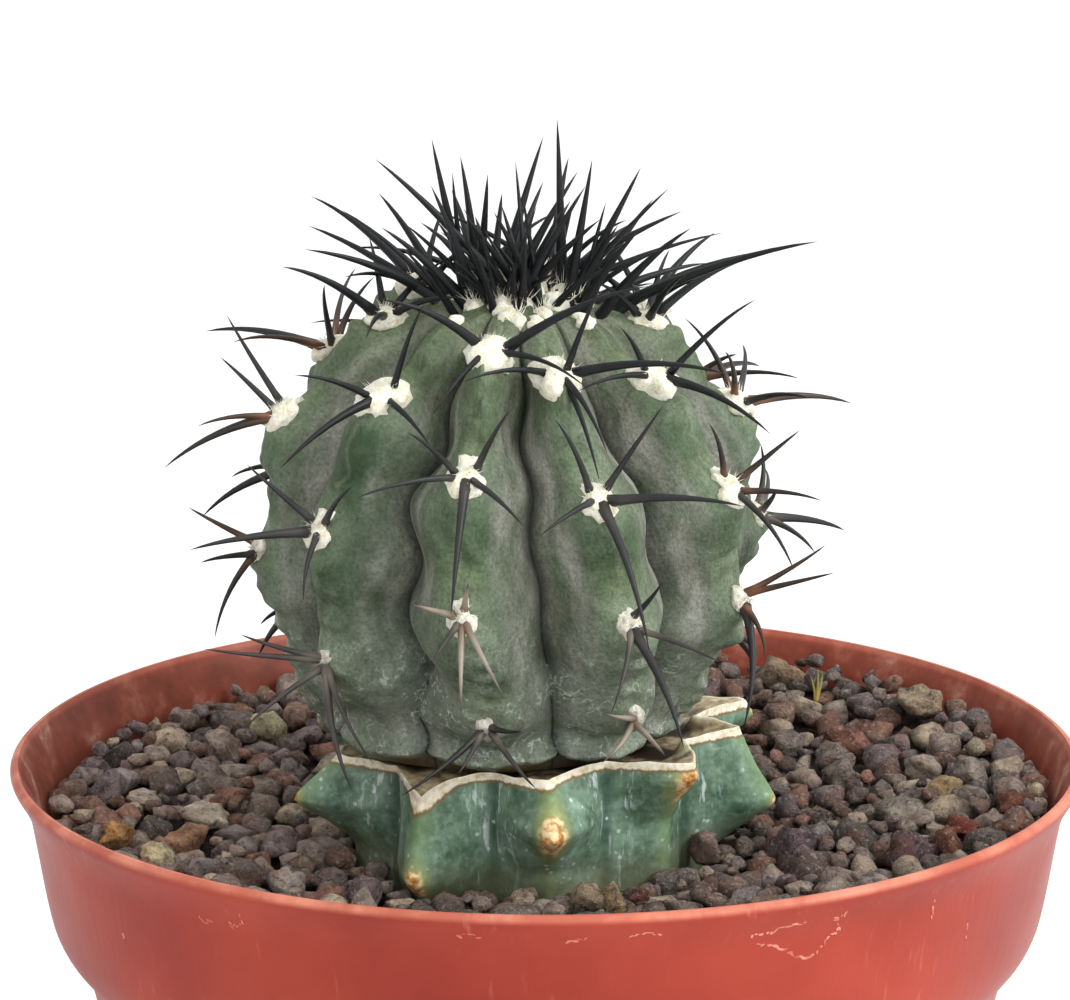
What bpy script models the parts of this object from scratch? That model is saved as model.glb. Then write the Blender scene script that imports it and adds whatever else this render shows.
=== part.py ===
"""Potted copiapoa grafted on a ribbed rootstock, in a shallow plastic bowl pot filled with lava grit.

The origin is the centre of the pot's foot on the surface it stands on, +Z is up and the side seen in
the photograph faces -Y. Lengths are in metres. The pot, the grit, the rootstock and the scion are four
closed bodies that stand 0.3 mm clear of one another.
"""
import math
import random

import bmesh
import bpy
from mathutils import Matrix, Vector

MM = 0.001
OBJECT_NAME = "potted_copiapoa"
SEAT_GAP = 0.3 * MM

# Pot: thin moulded bowl with a beaded lip, an upper band and a stepped-in lower body.
POT_HEIGHT = 85.0 * MM
POT_WALL = 1.5 * MM
POT_STEPS = 36
POT_FOOT_RADIUS = 58.0 * MM
POT_FOOT_WIDTH = 3.0 * MM
POT_RECESS = 3.0 * MM
POT_FLOOR = 4.6 * MM
POT_OUTER = ((79.2, 85.0), (80.0, 84.3), (79.7, 83.3), (78.6, 81.6), (77.4, 79.2), (76.8, 76.8), (74.6, 63.0),
             (73.2, 59.0), (71.0, 56.0), (68.4, 53.6))
CENTRE_HOLE_RADIUS = 5.0 * MM
DRAIN_HOLES = 6
DRAIN_HOLE_RADIUS = 4.0 * MM
DRAIN_RING_RADIUS = 40.0 * MM
DRAIN_HOLE_SIDES = 10

# Grit: the bed's top is dished, lowest at the stem and highest at the back and the right; stones are sunk in it.
BED_TOP = 69.5 * MM
BED_DISH = 0.16
BED_SLOPE = (0.03, 0.02)
STEM_HOLE_RADIUS = 29.8 * MM
STEM_HOLE_FLOOR = 57.7 * MM
STONE_RINGS = ((35.0, 16), (45.8, 22), (56.6, 26), (66.6, 31))
STONE_RADIUS = 7.2 * MM
STONE_SPREAD = 0.12
STONE_LIFT = 2.0 * MM
STONE_WALL_GAP = 0.6 * MM

# Rootstock: each rib is (angle, tip radius, tip height, radius at the cut, height of the cut).
STOCK_AXIS = Vector((-2.1 * MM, -5.0 * MM, 0.0))
STOCK_RIBS = ((-111.0, 35.0, 87.5, 34.0, 89.7), (-75.0, 37.0, 81.6, 28.9, 88.4), (-31.0, 34.2, 74.5, 30.7, 87.0),
              (5.0, 36.0, 83.0, 27.5, 90.1), (46.0, 33.0, 88.5, 32.0, 91.3), (84.0, 36.6, 79.4, 30.6, 91.0),
              (113.0, 37.0, 88.0, 34.5, 90.4), (155.0, 35.0, 80.0, 28.5, 90.0), (202.0, 36.0, 84.0, 29.5, 90.0))
STOCK_VALLEY = 24.2
STOCK_LOW_RADIUS = 27.0
KNOB_UNDERSIDE = 7.0
STOCK_BOTTOM = 58.0
STOCK_CUT = 88.7
STOCK_SEAT_RADIUS = 22.4
RIM_CLEAR_RADIUS = 26.6
RIM_SLOPE = 0.9
STOCK_LEVELS = (0.0, 0.30, 0.44, 0.53, 0.61, 0.69, 0.77, 0.85, 0.93, 1.0)
STEPS_PER_RIB = 8

# Scion: a fat barrel whose meridian is a quarter ellipse below its widest ring and a fuller one above.
SCION_BASE = Vector((-7.3 * MM, -0.5 * MM, 89.0 * MM))
SCION_RIBS = 10
SCION_RADIUS = 36.8 * MM
SCION_WAIST = 33.3 * MM
SCION_LOW_REACH = 38.4 * MM
SCION_HIGH_REACH = 35.3 * MM
LOW_FULLNESS = 0.80
HIGH_FULLNESS = 0.91
FURROW_DEPTH = 8.6 * MM
FURROW_POWER = 1.45
CREST_BLUNTNESS = 0.16
FURROW_SWAY = 1.7
CHIN = 1.6 * MM
SEAT_FLARE = 2.6 * MM
FLARE_LEVEL = 1.8 * MM
FLARE_HEIGHT = 3.0 * MM
LEAN_RIGHT = 0.056
LEAN_FRONT = 0.152
LEAN_START = 18.0 * MM
FRONT_RIB_TURN = -8.4
TWIST_PER_MM = -0.255
SCION_BANDS = 18
RIB_WANDER = ((3.5, -1.0, 1.0), (-5.0, 0.5, 4.5), (-2.0, 4.0, 1.0), (2.0, -1.0, -1.0), (-2.0, 1.0, 2.0),
              (3.0, 0.0, -2.0), (-2.0, 2.0, 1.0), (1.0, -2.0, 0.0), (3.0, 2.0, -2.0), (8.0, -1.0, -5.0))

# Areoles: each rib has its first one this far from the crown and the next ones at its own spacing.
AREOLES = ((17.8, 20.0), (21.8, 18.7), (25.2, 18.6), (18.4, 19.2), (23.0, 19.4), (17.0, 19.6), (22.4, 19.0),
           (18.0, 20.0), (20.2, 20.6), (29.8, 20.6))
LAST_AREOLE = 81.0
WOOL_PAD = Vector((3.3, 3.6, 2.1)) * MM
WOOL_CAP = Vector((10.5, 10.5, 4.6)) * MM

# Spines: three-sided needles with one bend, their roots well inside the pad.
SPINE_ROOT = 2.6 * MM
SPINE_RADIUS = 0.85 * MM
CENTRAL_SPINE_RADIUS = 1.15 * MM
CROWN_SPINE_RADIUS = 1.25 * MM
SPINE_SAG = 0.06

# Spines of the areoles that face the viewer: the tip's distance to the right, up and out, in millimetres.
FRONT_SPINES = {
    (0, 0): ((-15, 7, 10), (-8, -9, 12), (13, -5, 12), (22, 9, 8)),
    (0, 1): ((-15, -3, 9), (-2, -19, 9), (-8, 6, 8), (6, 9, 8), (8, -7, 10)),
    (0, 2): ((-7, 2, 7), (1, 5, 6), (-4, -6, 7), (0, -13, 6), (6, -11, 7)),
    (0, 3): ((-12, -9, 8), (5, 0, 6), (7, -8, 8), (-4, -6, 7)),
    (1, 0): ((24, 0, 9), (-13, -1, 10), (7, -11, 12), (6, -15, 8), (6, 12, 9)),
    (1, 1): ((-6, 11, 8), (9, 13, 8), (20, -1, 9), (7, -21, 10), (-8, -5, 9)),
    (1, 2): ((4, 6, 7), (7, -17, 10), (12, -5, 7), (-3, -12, 7)),
    (1, 3): ((-5, -6, 7), (4, -5, 8), (-5, 1, 6)),
    (2, 0): ((16, -8, 9), (14, 11, 6), (-5, 7, 6), (-11, -2, 9)),
    (2, 1): ((10, 8, 2), (13, -2, 4), (9, -12, 7), (-3, 9, 5)),
    (2, 2): ((12, 8, 2), (13, 4, 5), (3, -8, 8), (0, -18, 7)),
    (9, 0): ((6, 13, 8), (-12, 3, 8), (-14, -10, 9), (7, -7, 10)),
    (9, 1): ((-18, -3, 6), (-2, -10, 7), (-10, 9, 5), (5, 6, 8)),
    (9, 2): ((-17, 2, 7), (-11, -9, 8), (4, -18, 8), (7, -14, 10), (-12, 4, 5)),
    (8, 1): ((-17, -8, 3), (-9, 8, 1), (-8, 14, 2), (-12, -2, 5)),
    (8, 2): ((-6, -13, 5), (-10, 6, 2), (-8, -2, 6)),
}

# Spines of the woolly crown: where the tip stands from the crown's centre, to the right, up and out.
CROWN_SPINES = (
    (-21, 19, 6), (-13, 22, 4), (-9, 20, -3), (-5, 17, 3), (3, 23, -5), (5, 25, 3), (-3, 15, -8), (8, 18, -6),
    (10, 19, 5), (17, 18, 3), (19, 14, -6), (23, 12, -2), (24, 9, 8), (9, 15, 8), (7, 14, -10), (11, 10, 12),
    (-21, 15, -7), (-13, 15, 9), (-15, 11, -12), (-20, 9, 10), (-4, 11, 13), (17, 9, 12), (42, 7, 10),
    (35, 6, 2), (27, 5, -12), (-31, 10, -4), (-31, 6, 8), (-7, 12, -15), (16, 11, -15), (3, 17, -14))

# Clock angle from the crown's side, length and rise of each spine of an areole that is seen from elsewhere.
SPINE_FAN = ((-48.0, 12.0, 32.0), (38.0, 14.0, 30.0), (-102.0, 16.0, 24.0), (98.0, 18.0, 22.0), (172.0, 20.0, 32.0))
VIEW_PITCH = math.radians(13.5)


def clear_scene():
    for item in list(bpy.data.objects):
        bpy.data.objects.remove(item, do_unlink=True)
    for group in list(bpy.data.collections):
        bpy.data.collections.remove(group)


def new_collection(name):
    group = bpy.data.collections.new(name)
    bpy.context.scene.collection.children.link(group)
    return group


def add_material(item, name, colour, roughness):
    material = bpy.data.materials.new(name)
    material.use_nodes = True
    shader = material.node_tree.nodes["Principled BSDF"]
    shader.inputs["Base Color"].default_value = (*colour, 1.0)
    shader.inputs["Roughness"].default_value = roughness
    item.data.materials.append(material)


def new_object(bm, name, group):
    bmesh.ops.recalc_face_normals(bm, faces=bm.faces)
    mesh = bpy.data.meshes.new(name)
    bm.to_mesh(mesh)
    bm.free()
    item = bpy.data.objects.new(name, mesh)
    group.objects.link(item)
    return item


def apply_modifiers(item):
    graph = bpy.context.evaluated_depsgraph_get()
    mesh = bpy.data.meshes.new_from_object(item.evaluated_get(graph))
    item.modifiers.clear()
    old = item.data
    item.data = mesh
    bpy.data.meshes.remove(old)


def shade_round(item, crease):
    item.data.shade_smooth()
    item.data.set_sharp_from_angle(angle=math.radians(crease))


def join_with(item, group, operation):
    """One Boolean with a whole collection, applied; the collection's objects are then removed."""
    boolean = item.modifiers.new("join", "BOOLEAN")
    boolean.operation = operation
    boolean.operand_type = "COLLECTION"
    boolean.collection = group
    boolean.solver = "EXACT"
    apply_modifiers(item)
    for extra in list(group.objects):
        bpy.data.objects.remove(extra, do_unlink=True)


def drop_scrap(item):
    """Keep the largest connected shell: anything a Boolean sealed inside or cut loose goes."""
    bm = bmesh.new()
    bm.from_mesh(item.data)
    left = set(bm.verts)
    shells = []
    while left:
        shell = {left.pop()}
        edge_of_shell = list(shell)
        while edge_of_shell:
            vert = edge_of_shell.pop()
            for edge in vert.link_edges:
                other = edge.other_vert(vert)
                if other in left:
                    left.remove(other)
                    shell.add(other)
                    edge_of_shell.append(other)
        shells.append(shell)
    shells.sort(key=len)
    scrap = [vert for shell in shells[:-1] for vert in shell]
    bmesh.ops.delete(bm, geom=scrap, context="VERTS")
    bm.to_mesh(item.data)
    bm.free()


def spin_profile(points, name, group):
    """Closed profile of (radius, height) in millimetres, turned once about the Z axis."""
    bm = bmesh.new()
    verts = [bm.verts.new((radius * MM, 0.0, height * MM)) for radius, height in points]
    for index, vert in enumerate(verts):
        bm.edges.new((vert, verts[(index + 1) % len(verts)]))
    mesh = bpy.data.meshes.new(name)
    bm.to_mesh(mesh)
    bm.free()
    item = bpy.data.objects.new(name, mesh)
    group.objects.link(item)
    screw = item.modifiers.new("turn", "SCREW")
    screw.axis = "Z"
    screw.steps = POT_STEPS
    screw.render_steps = POT_STEPS
    screw.use_merge_vertices = True
    screw.merge_threshold = 0.00001
    apply_modifiers(item)
    return item


def pot_inner_radius(height):
    """Radius of the pot's inside at a height, both in millimetres."""
    outer = POT_OUTER + ((POT_FOOT_RADIUS / MM, 0.0),)
    for (top_radius, top), (low_radius, low) in zip(outer, outer[1:]):
        if height >= low:
            share = (height - low) / (top - low)
            return low_radius + (top_radius - low_radius) * share - POT_WALL / MM
    return outer[-1][0] - POT_WALL / MM


def build_pot(group, cutters):
    foot = POT_FOOT_RADIUS / MM
    recess_edge = foot - POT_FOOT_WIDTH / MM
    hole = CENTRE_HOLE_RADIUS / MM
    floor = POT_FLOOR / MM
    wall = POT_WALL / MM
    profile = list(POT_OUTER)
    profile += [(foot, 0.0), (recess_edge, 0.0), (recess_edge - 0.6, POT_RECESS / MM), (hole, POT_RECESS / MM)]
    profile += [(hole, floor), (pot_inner_radius(floor) - 1.0, floor)]
    profile += [(radius - wall, height + 0.9) for radius, height in reversed(POT_OUTER[5:])]
    profile += [(POT_OUTER[3][0] - wall, POT_OUTER[3][1] + 0.6), (POT_OUTER[1][0] - wall, POT_HEIGHT / MM)]
    pot = spin_profile(profile, "pot", group)
    for index in range(DRAIN_HOLES):
        angle = math.tau * index / DRAIN_HOLES
        place = Matrix.Translation((DRAIN_RING_RADIUS * math.cos(angle), DRAIN_RING_RADIUS * math.sin(angle),
                                    POT_FLOOR))
        bm = bmesh.new()
        bmesh.ops.create_cone(bm, cap_ends=True, segments=DRAIN_HOLE_SIDES, radius1=DRAIN_HOLE_RADIUS,
                              radius2=DRAIN_HOLE_RADIUS, depth=4.0 * POT_RECESS, matrix=place)
        new_object(bm, "drain_hole_cutter", cutters)
    join_with(pot, cutters, "DIFFERENCE")
    shade_round(pot, 40.0)
    add_material(pot, "terracotta_plastic", (0.56, 0.10, 0.05), 0.42)
    return pot


def stock_outline(rib_place, level):
    """Point of the rootstock's skin: ribs counted from 0 to 9 round it, level 0 at its foot, 1 at the cut."""
    count = len(STOCK_RIBS)
    index = math.floor(rib_place)
    share = rib_place - index
    low = STOCK_RIBS[index % count]
    high = STOCK_RIBS[(index + 1) % count]
    gap = (high[0] - low[0]) % 360.0
    angle = math.radians(low[0] + gap * share)
    near = low if share < 0.5 else high
    away = min(share, 1.0 - share) * 2.0
    valley_cut = max(low[4], high[4])
    cut = valley_cut + (near[4] - valley_cut) * (1.0 - away) ** 1.5
    height = STOCK_BOTTOM + (cut - STOCK_BOTTOM) * level
    ridge = rib_ridge(near, height)
    valley = STOCK_VALLEY - 1.5 * min(1.0, max(0.0, (72.0 - height) / 10.0))
    radius = valley + (ridge - valley) * (1.0 - away) ** 1.35
    radius -= 5.0 * max(0.0, 0.25 - level)
    return angle, radius, height


def rib_ridge(rib, height):
    """How far a rib's crest stands from the axis: out to its knob, then back to the buried stem."""
    tip_radius, tip_height, cut_radius, cut_height = rib[1:]
    if height >= tip_height:
        share = min(1.0, (height - tip_height) / (cut_height - tip_height))
        return tip_radius + (cut_radius - tip_radius) * share
    share = min(1.0, (tip_height - height) / KNOB_UNDERSIDE)
    return tip_radius + (STOCK_LOW_RADIUS - tip_radius) * share ** 0.85


def rim_ceiling(reach):
    """Highest that the cut's rim may stand at a distance from the scion's axis, to stay clear of its flank."""
    return STOCK_CUT + max(0.0, reach - RIM_CLEAR_RADIUS) * RIM_SLOPE


def build_rootstock(group):
    rounds = len(STOCK_RIBS) * STEPS_PER_RIB
    bands = len(STOCK_LEVELS) + 3
    bm = bmesh.new()
    bmesh.ops.create_uvsphere(bm, u_segments=rounds, v_segments=bands, radius=1.0)
    for vert in bm.verts:
        turn = math.degrees(math.atan2(vert.co.x, -vert.co.y)) % 360.0
        band = round(bands * math.acos(max(-1.0, min(1.0, -vert.co.z))) / math.pi)
        rib_place = turn / 360.0 * len(STOCK_RIBS)
        if band == 0:
            vert.co = STOCK_AXIS + Vector((0.0, 0.0, STOCK_BOTTOM * MM))
            continue
        if band == bands:
            vert.co = STOCK_AXIS + Vector((0.0, 0.0, STOCK_CUT * MM))
            continue
        level = STOCK_LEVELS[min(band, len(STOCK_LEVELS)) - 1]
        angle, radius, height = stock_outline(rib_place, level)
        if band == len(STOCK_LEVELS) + 1:
            radius = max(radius - 2.0, STOCK_SEAT_RADIUS + 0.6)
            height -= 0.2
        if band == len(STOCK_LEVELS) + 2:
            radius = STOCK_SEAT_RADIUS
            height = STOCK_CUT
        place = STOCK_AXIS + Vector((radius * math.sin(angle), -radius * math.cos(angle), height)) * MM
        ceiling = rim_ceiling((place.xy - SCION_BASE.xy).length / MM) * MM
        vert.co = Vector((place.x, place.y, min(place.z, ceiling)))
    stock = new_object(bm, "rootstock", group)
    shade_round(stock, 50.0)
    add_material(stock, "waxy_green_skin", (0.10, 0.26, 0.18), 0.5)
    return stock


def smooth_step(value, low, high):
    share = min(1.0, max(0.0, (value - low) / (high - low)))
    return share * share * (3.0 - 2.0 * share)


def meridian(climb):
    """Radius and height of the scion's crest line: climb runs from 0 below the seat to pi at the crown."""
    cosine = math.cos(climb)
    sine = max(0.0, math.sin(climb))
    if climb < math.pi / 2.0:
        height = SCION_WAIST - SCION_LOW_REACH * cosine
        flare = SEAT_FLARE * math.exp(-((height - FLARE_LEVEL) / FLARE_HEIGHT) ** 2)
        return SCION_RADIUS * sine ** LOW_FULLNESS + flare, height
    rise = SCION_HIGH_REACH * abs(cosine) ** HIGH_FULLNESS
    return SCION_RADIUS * sine ** HIGH_FULLNESS, SCION_WAIST + rise


def crest_lengths():
    """Table of climb against the distance from the crown along the crest line, in millimetres."""
    rows = []
    length = 0.0
    old = meridian(math.pi)
    steps = 400
    for index in range(steps + 1):
        climb = math.pi - (math.pi - SEAT_CLIMB) * index / steps
        new = meridian(climb)
        length += math.hypot(new[0] - old[0], new[1] - old[1]) / MM
        rows.append((climb, length))
        old = new
    return rows


def climb_at(length):
    for (climb, here), (climb_next, there) in zip(CREST, CREST[1:]):
        if there >= length:
            return climb + (climb_next - climb) * (length - here) / (there - here)
    return CREST[-1][0]


def length_at(climb):
    share = (math.pi - climb) / (math.pi - SEAT_CLIMB) * (len(CREST) - 1)
    index = max(0, min(len(CREST) - 2, int(share)))
    return CREST[index][1] + (CREST[index + 1][1] - CREST[index][1]) * (share - index)


def wander(rib, height):
    """Degrees by which a rib strays sideways at a height: set near the crown, at the waist and at the foot."""
    high, middle, low = RIB_WANDER[rib % SCION_RIBS]
    share = smooth_step(height, 12.0 * MM, 38.0 * MM)
    if share < 1.0:
        return low + (middle - low) * share
    return middle + (high - middle) * smooth_step(height, 38.0 * MM, 62.0 * MM)


def areole_beat(rib, climb):
    """How far a rib swells below each of its areoles, from -1 to 1."""
    first, spacing = AREOLES[rib % SCION_RIBS]
    return math.cos(math.tau * (length_at(climb) - first) / spacing - 1.3)


def scion_point(rib_place, climb, lift=0.0):
    """Point on the scion: rib_place counts ribs from the front one to the right."""
    radius, height = meridian(climb)
    step = 0.002
    low = meridian(max(SEAT_CLIMB * 0.5, climb - step))
    high = meridian(min(math.pi, climb + step))
    slope = Vector((high[0] - low[0], high[1] - low[1])).normalized()
    nearest = round(rib_place)
    away = abs(rib_place - nearest) * 2.0
    depth = FURROW_DEPTH * smooth_step(radius / SCION_RADIUS, 0.15, 0.70)
    if climb < math.pi / 2.0:
        depth = FURROW_DEPTH * (0.25 + 0.75 * smooth_step(height, 0.0, 22.0 * MM))
    fade = smooth_step(height, 1.0 * MM, 9.0 * MM) * smooth_step(radius, 8.0 * MM, 20.0 * MM)
    blunt = (math.hypot(away, CREST_BLUNTNESS) - CREST_BLUNTNESS) / (math.hypot(1.0, CREST_BLUNTNESS) - CREST_BLUNTNESS)
    out = lift - depth * blunt ** FURROW_POWER + CHIN * areole_beat(nearest, climb) * fade * (1.0 - away) ** 2
    radius += out * slope.y
    height -= out * slope.x
    left_rib = math.floor(rib_place)
    share = rib_place - left_rib
    stray = wander(left_rib, height) * (1.0 - share) + wander(left_rib + 1, height) * share
    push = (areole_beat(left_rib, climb) - areole_beat(left_rib + 1, climb)) * fade
    stray += FURROW_SWAY * push * math.sin(math.pi * share) ** 2
    turn = rib_place * 360.0 / SCION_RIBS + stray + FRONT_RIB_TURN
    turn += TWIST_PER_MM * (height / MM - 30.0)
    angle = math.radians(turn)
    bend = smooth_step(height, 0.0, LEAN_START)
    point = Vector((radius * math.sin(angle), -radius * math.cos(angle), height))
    point = Matrix.Rotation(LEAN_RIGHT * bend, 3, "Y") @ point
    point = Matrix.Rotation(LEAN_FRONT * bend, 3, "X") @ point
    return SCION_BASE + point


def scion_frame(rib_place, climb):
    """Point on a crest with its outward, upward and sideways directions there."""
    point = scion_point(rib_place, climb)
    above = scion_point(rib_place, min(math.pi - 0.001, climb + 0.03))
    beside = scion_point(rib_place + 0.01, climb)
    up = (above - point).normalized()
    side = (beside - point).normalized()
    out = side.cross(up).normalized()
    middle = SCION_BASE + Vector((0.0, 0.0, SCION_WAIST))
    if out.dot(point - middle) < 0.0:
        out.negate()
    side = up.cross(out).normalized()
    return point, out, up, side


def build_body(group):
    rounds = SCION_RIBS * STEPS_PER_RIB
    bm = bmesh.new()
    bmesh.ops.create_uvsphere(bm, u_segments=rounds, v_segments=SCION_BANDS, radius=1.0)
    for vert in bm.verts:
        turn = math.degrees(math.atan2(vert.co.x, -vert.co.y)) % 360.0
        band = round(SCION_BANDS * math.acos(max(-1.0, min(1.0, -vert.co.z))) / math.pi)
        if band == 0:
            vert.co = SCION_BASE
            continue
        climb = SEAT_CLIMB + (math.pi - SEAT_CLIMB) * (band - 1) / (SCION_BANDS - 1)
        vert.co = scion_point(turn / 360.0 * SCION_RIBS, climb)
        if band == 1:
            vert.co.z = SCION_BASE.z
    return new_object(bm, "scion", group)


def add_pad(place, out, up, side, size, group, name):
    """Low wool cushion: a squashed icosphere that lies in the skin with its long way up the rib."""
    turn = Matrix((side, up, out)).transposed().to_4x4()
    scale = Matrix.Diagonal((size.x, size.y, size.z, 1.0))
    bm = bmesh.new()
    bmesh.ops.create_icosphere(bm, subdivisions=1, radius=1.0, matrix=Matrix.Translation(place) @ turn @ scale)
    new_object(bm, name, group)


def add_spine(root, tip, bow, thick, group):
    """Three-sided needle from a sunk root to its tip, bent once in the middle by bow."""
    along = (tip - root).normalized()
    turn = along.to_track_quat("Z", "Y").to_matrix().to_4x4()
    bm = bmesh.new()
    bmesh.ops.create_cone(bm, cap_ends=True, segments=3, radius1=thick, radius2=thick * 0.62,
                          depth=1.0, matrix=Matrix.Translation((0.0, 0.0, 0.5)))
    upper = [vert for vert in bm.verts if vert.co.z > 0.5]
    top_face = [face for face in bm.faces if all(vert in upper for vert in face.verts)]
    extruded = bmesh.ops.extrude_discrete_faces(bm, faces=top_face)
    tip_verts = list(extruded["faces"][0].verts)
    reach = (tip - root).length
    for vert in bm.verts:
        if vert.co.z < 0.5:
            vert.co.z = 0.0
        elif vert not in tip_verts:
            vert.co.z = reach * 0.52
    bmesh.ops.pointmerge(bm, verts=tip_verts, merge_co=Vector((0.0, 0.0, reach)))
    bmesh.ops.transform(bm, matrix=Matrix.Translation(root) @ turn, verts=bm.verts)
    for vert in bm.verts:
        share = (vert.co - root).dot(along) / reach
        vert.co += bow * 4.0 * share * (1.0 - share)
    new_object(bm, "spine", group)


def viewer_offset(right, up, out):
    """Offset from three distances seen along the photograph's line of sight, in millimetres."""
    across = Vector((1.0, 0.0, 0.0))
    upward = Vector((0.0, math.sin(VIEW_PITCH), math.cos(VIEW_PITCH)))
    nearer = Vector((0.0, -math.cos(VIEW_PITCH), math.sin(VIEW_PITCH)))
    return (across * right + upward * up + nearer * out) * MM


def add_areole(rib, number, length, group, draws):
    point, out, up, side = scion_frame(rib, climb_at(length))
    fade = 1.0 - 0.45 * smooth_step(length, 30.0, LAST_AREOLE)
    add_pad(point - out * 0.5 * MM, out, up, side, WOOL_PAD * fade, group, "wool_pad")
    root = point - out * SPINE_ROOT * 0.6
    if (rib, number) in FRONT_SPINES:
        for tip in FRONT_SPINES[(rib, number)]:
            reach = viewer_offset(*tip)
            thick = CENTRAL_SPINE_RADIUS if reach.length > 19.0 * MM else SPINE_RADIUS
            sideways = (reach - out * reach.dot(out)).normalized()
            add_spine(root + sideways * 1.0 * MM, point + reach, out * reach.length * SPINE_SAG, thick, group)
        return
    for clock, spine_length, rise in SPINE_FAN:
        clock = math.radians(clock + draws.uniform(-12.0, 12.0))
        rise = math.radians(rise + draws.uniform(-8.0, 8.0))
        reach = spine_length * draws.uniform(0.85, 1.15) * fade * MM
        sideways = up * math.cos(clock) + side * math.sin(clock)
        direction = sideways * math.cos(rise) + out * math.sin(rise)
        thick = CENTRAL_SPINE_RADIUS if spine_length > 19.0 else SPINE_RADIUS
        add_spine(root + sideways * 1.0 * MM, point + direction * reach, out * reach * SPINE_SAG, thick, group)


def add_crown(group, draws):
    """The woolly crown with the young spines that stand up out of it."""
    centre = scion_point(0.0, math.pi)
    lean = Matrix.Rotation(LEAN_FRONT, 3, "X") @ Matrix.Rotation(LEAN_RIGHT, 3, "Y")
    axis = lean @ Vector((0.0, 0.0, 1.0))
    across = lean @ Vector((1.0, 0.0, 0.0))
    add_pad(centre - axis * 1.5 * MM, axis, axis.cross(across), across, WOOL_CAP, group, "wool_cap")
    for tip in CROWN_SPINES:
        reach = viewer_offset(*tip)
        flat = reach - axis * reach.dot(axis)
        start = flat.normalized() * min(9.0 * MM, 2.0 * MM + flat.length * 0.28)
        root = centre + start - axis * (2.0 * MM + start.length * 0.25)
        bow = (axis * flat.length * 0.05) + flat * draws.uniform(-0.03, 0.03)
        add_spine(root, centre + reach, bow, CROWN_SPINE_RADIUS, group)


def build_scion(group, growth):
    draws = random.Random(11)
    scion = build_body(group)
    for rib in range(SCION_RIBS):
        length, spacing = AREOLES[rib]
        number = 0
        while length < LAST_AREOLE:
            add_areole(rib, number, length, growth, draws)
            length += spacing
            number += 1
    add_crown(growth, draws)
    join_with(scion, growth, "UNION")
    drop_scrap(scion)
    shade_round(scion, 50.0)
    add_material(scion, "ribbed_green_skin", (0.09, 0.15, 0.09), 0.6)
    return scion


def stock_reach(angle):
    """How far the rootstock stands out at an angle below the height the stones reach, in millimetres."""
    reach = STOCK_LOW_RADIUS
    for index, rib in enumerate(STOCK_RIBS):
        for share in (-0.4, -0.2, 0.0, 0.2, 0.4):
            for level in (0.4, 0.5, 0.6, 0.7):
                place, radius, height = stock_outline(index + share, level)
                turned = (math.degrees(angle - place) + 180.0) % 360.0 - 180.0
                if height < 80.0 and abs(turned) < 14.0:
                    reach = max(reach, radius)
    return reach


def bed_height(place):
    """Height of the bed's top at a place: it climbs from the stem hole to the pot's wall."""
    return BED_TOP + BED_DISH * (place.xy.length - STEM_HOLE_RADIUS) + BED_SLOPE[0] * place.x + BED_SLOPE[1] * place.y


def build_grit(group, stones):
    top = BED_TOP / MM
    low_wall = pot_inner_radius(56.5) - SEAT_GAP / MM
    floor = POT_FLOOR / MM + SEAT_GAP / MM
    profile = [(pot_inner_radius(top) - 0.9, top), (pot_inner_radius(62.0) - 1.2, 62.0), (low_wall - 2.2, 56.5),
               (pot_inner_radius(52.0) - 0.7, 52.0), (pot_inner_radius(floor) - 1.9, floor), (0.0, floor)]
    profile += [(0.0, STEM_HOLE_FLOOR / MM), (STEM_HOLE_RADIUS / MM, STEM_HOLE_FLOOR / MM),
                (STEM_HOLE_RADIUS / MM, top)]
    bed = spin_profile(profile, "grit", group)
    bm = bmesh.new()
    bm.from_mesh(bed.data)
    for vert in bm.verts:
        radius = math.hypot(vert.co.x, vert.co.y)
        if radius < STEM_HOLE_RADIUS + 0.1 * MM and vert.co.z > STEM_HOLE_FLOOR - 0.1 * MM:
            vert.co += STOCK_AXIS
        if vert.co.z > BED_TOP - 0.1 * MM:
            vert.co.z = bed_height(vert.co)
    bm.to_mesh(bed.data)
    bm.free()
    draws = random.Random(5)
    for ring_radius, count in STONE_RINGS:
        start = draws.uniform(0.0, math.tau)
        for index in range(count):
            add_stone(start + math.tau * index / count, ring_radius, draws, stones)
    join_with(bed, stones, "UNION")
    drop_scrap(bed)
    add_material(bed, "lava_grit", (0.12, 0.08, 0.07), 0.95)
    return bed


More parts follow.
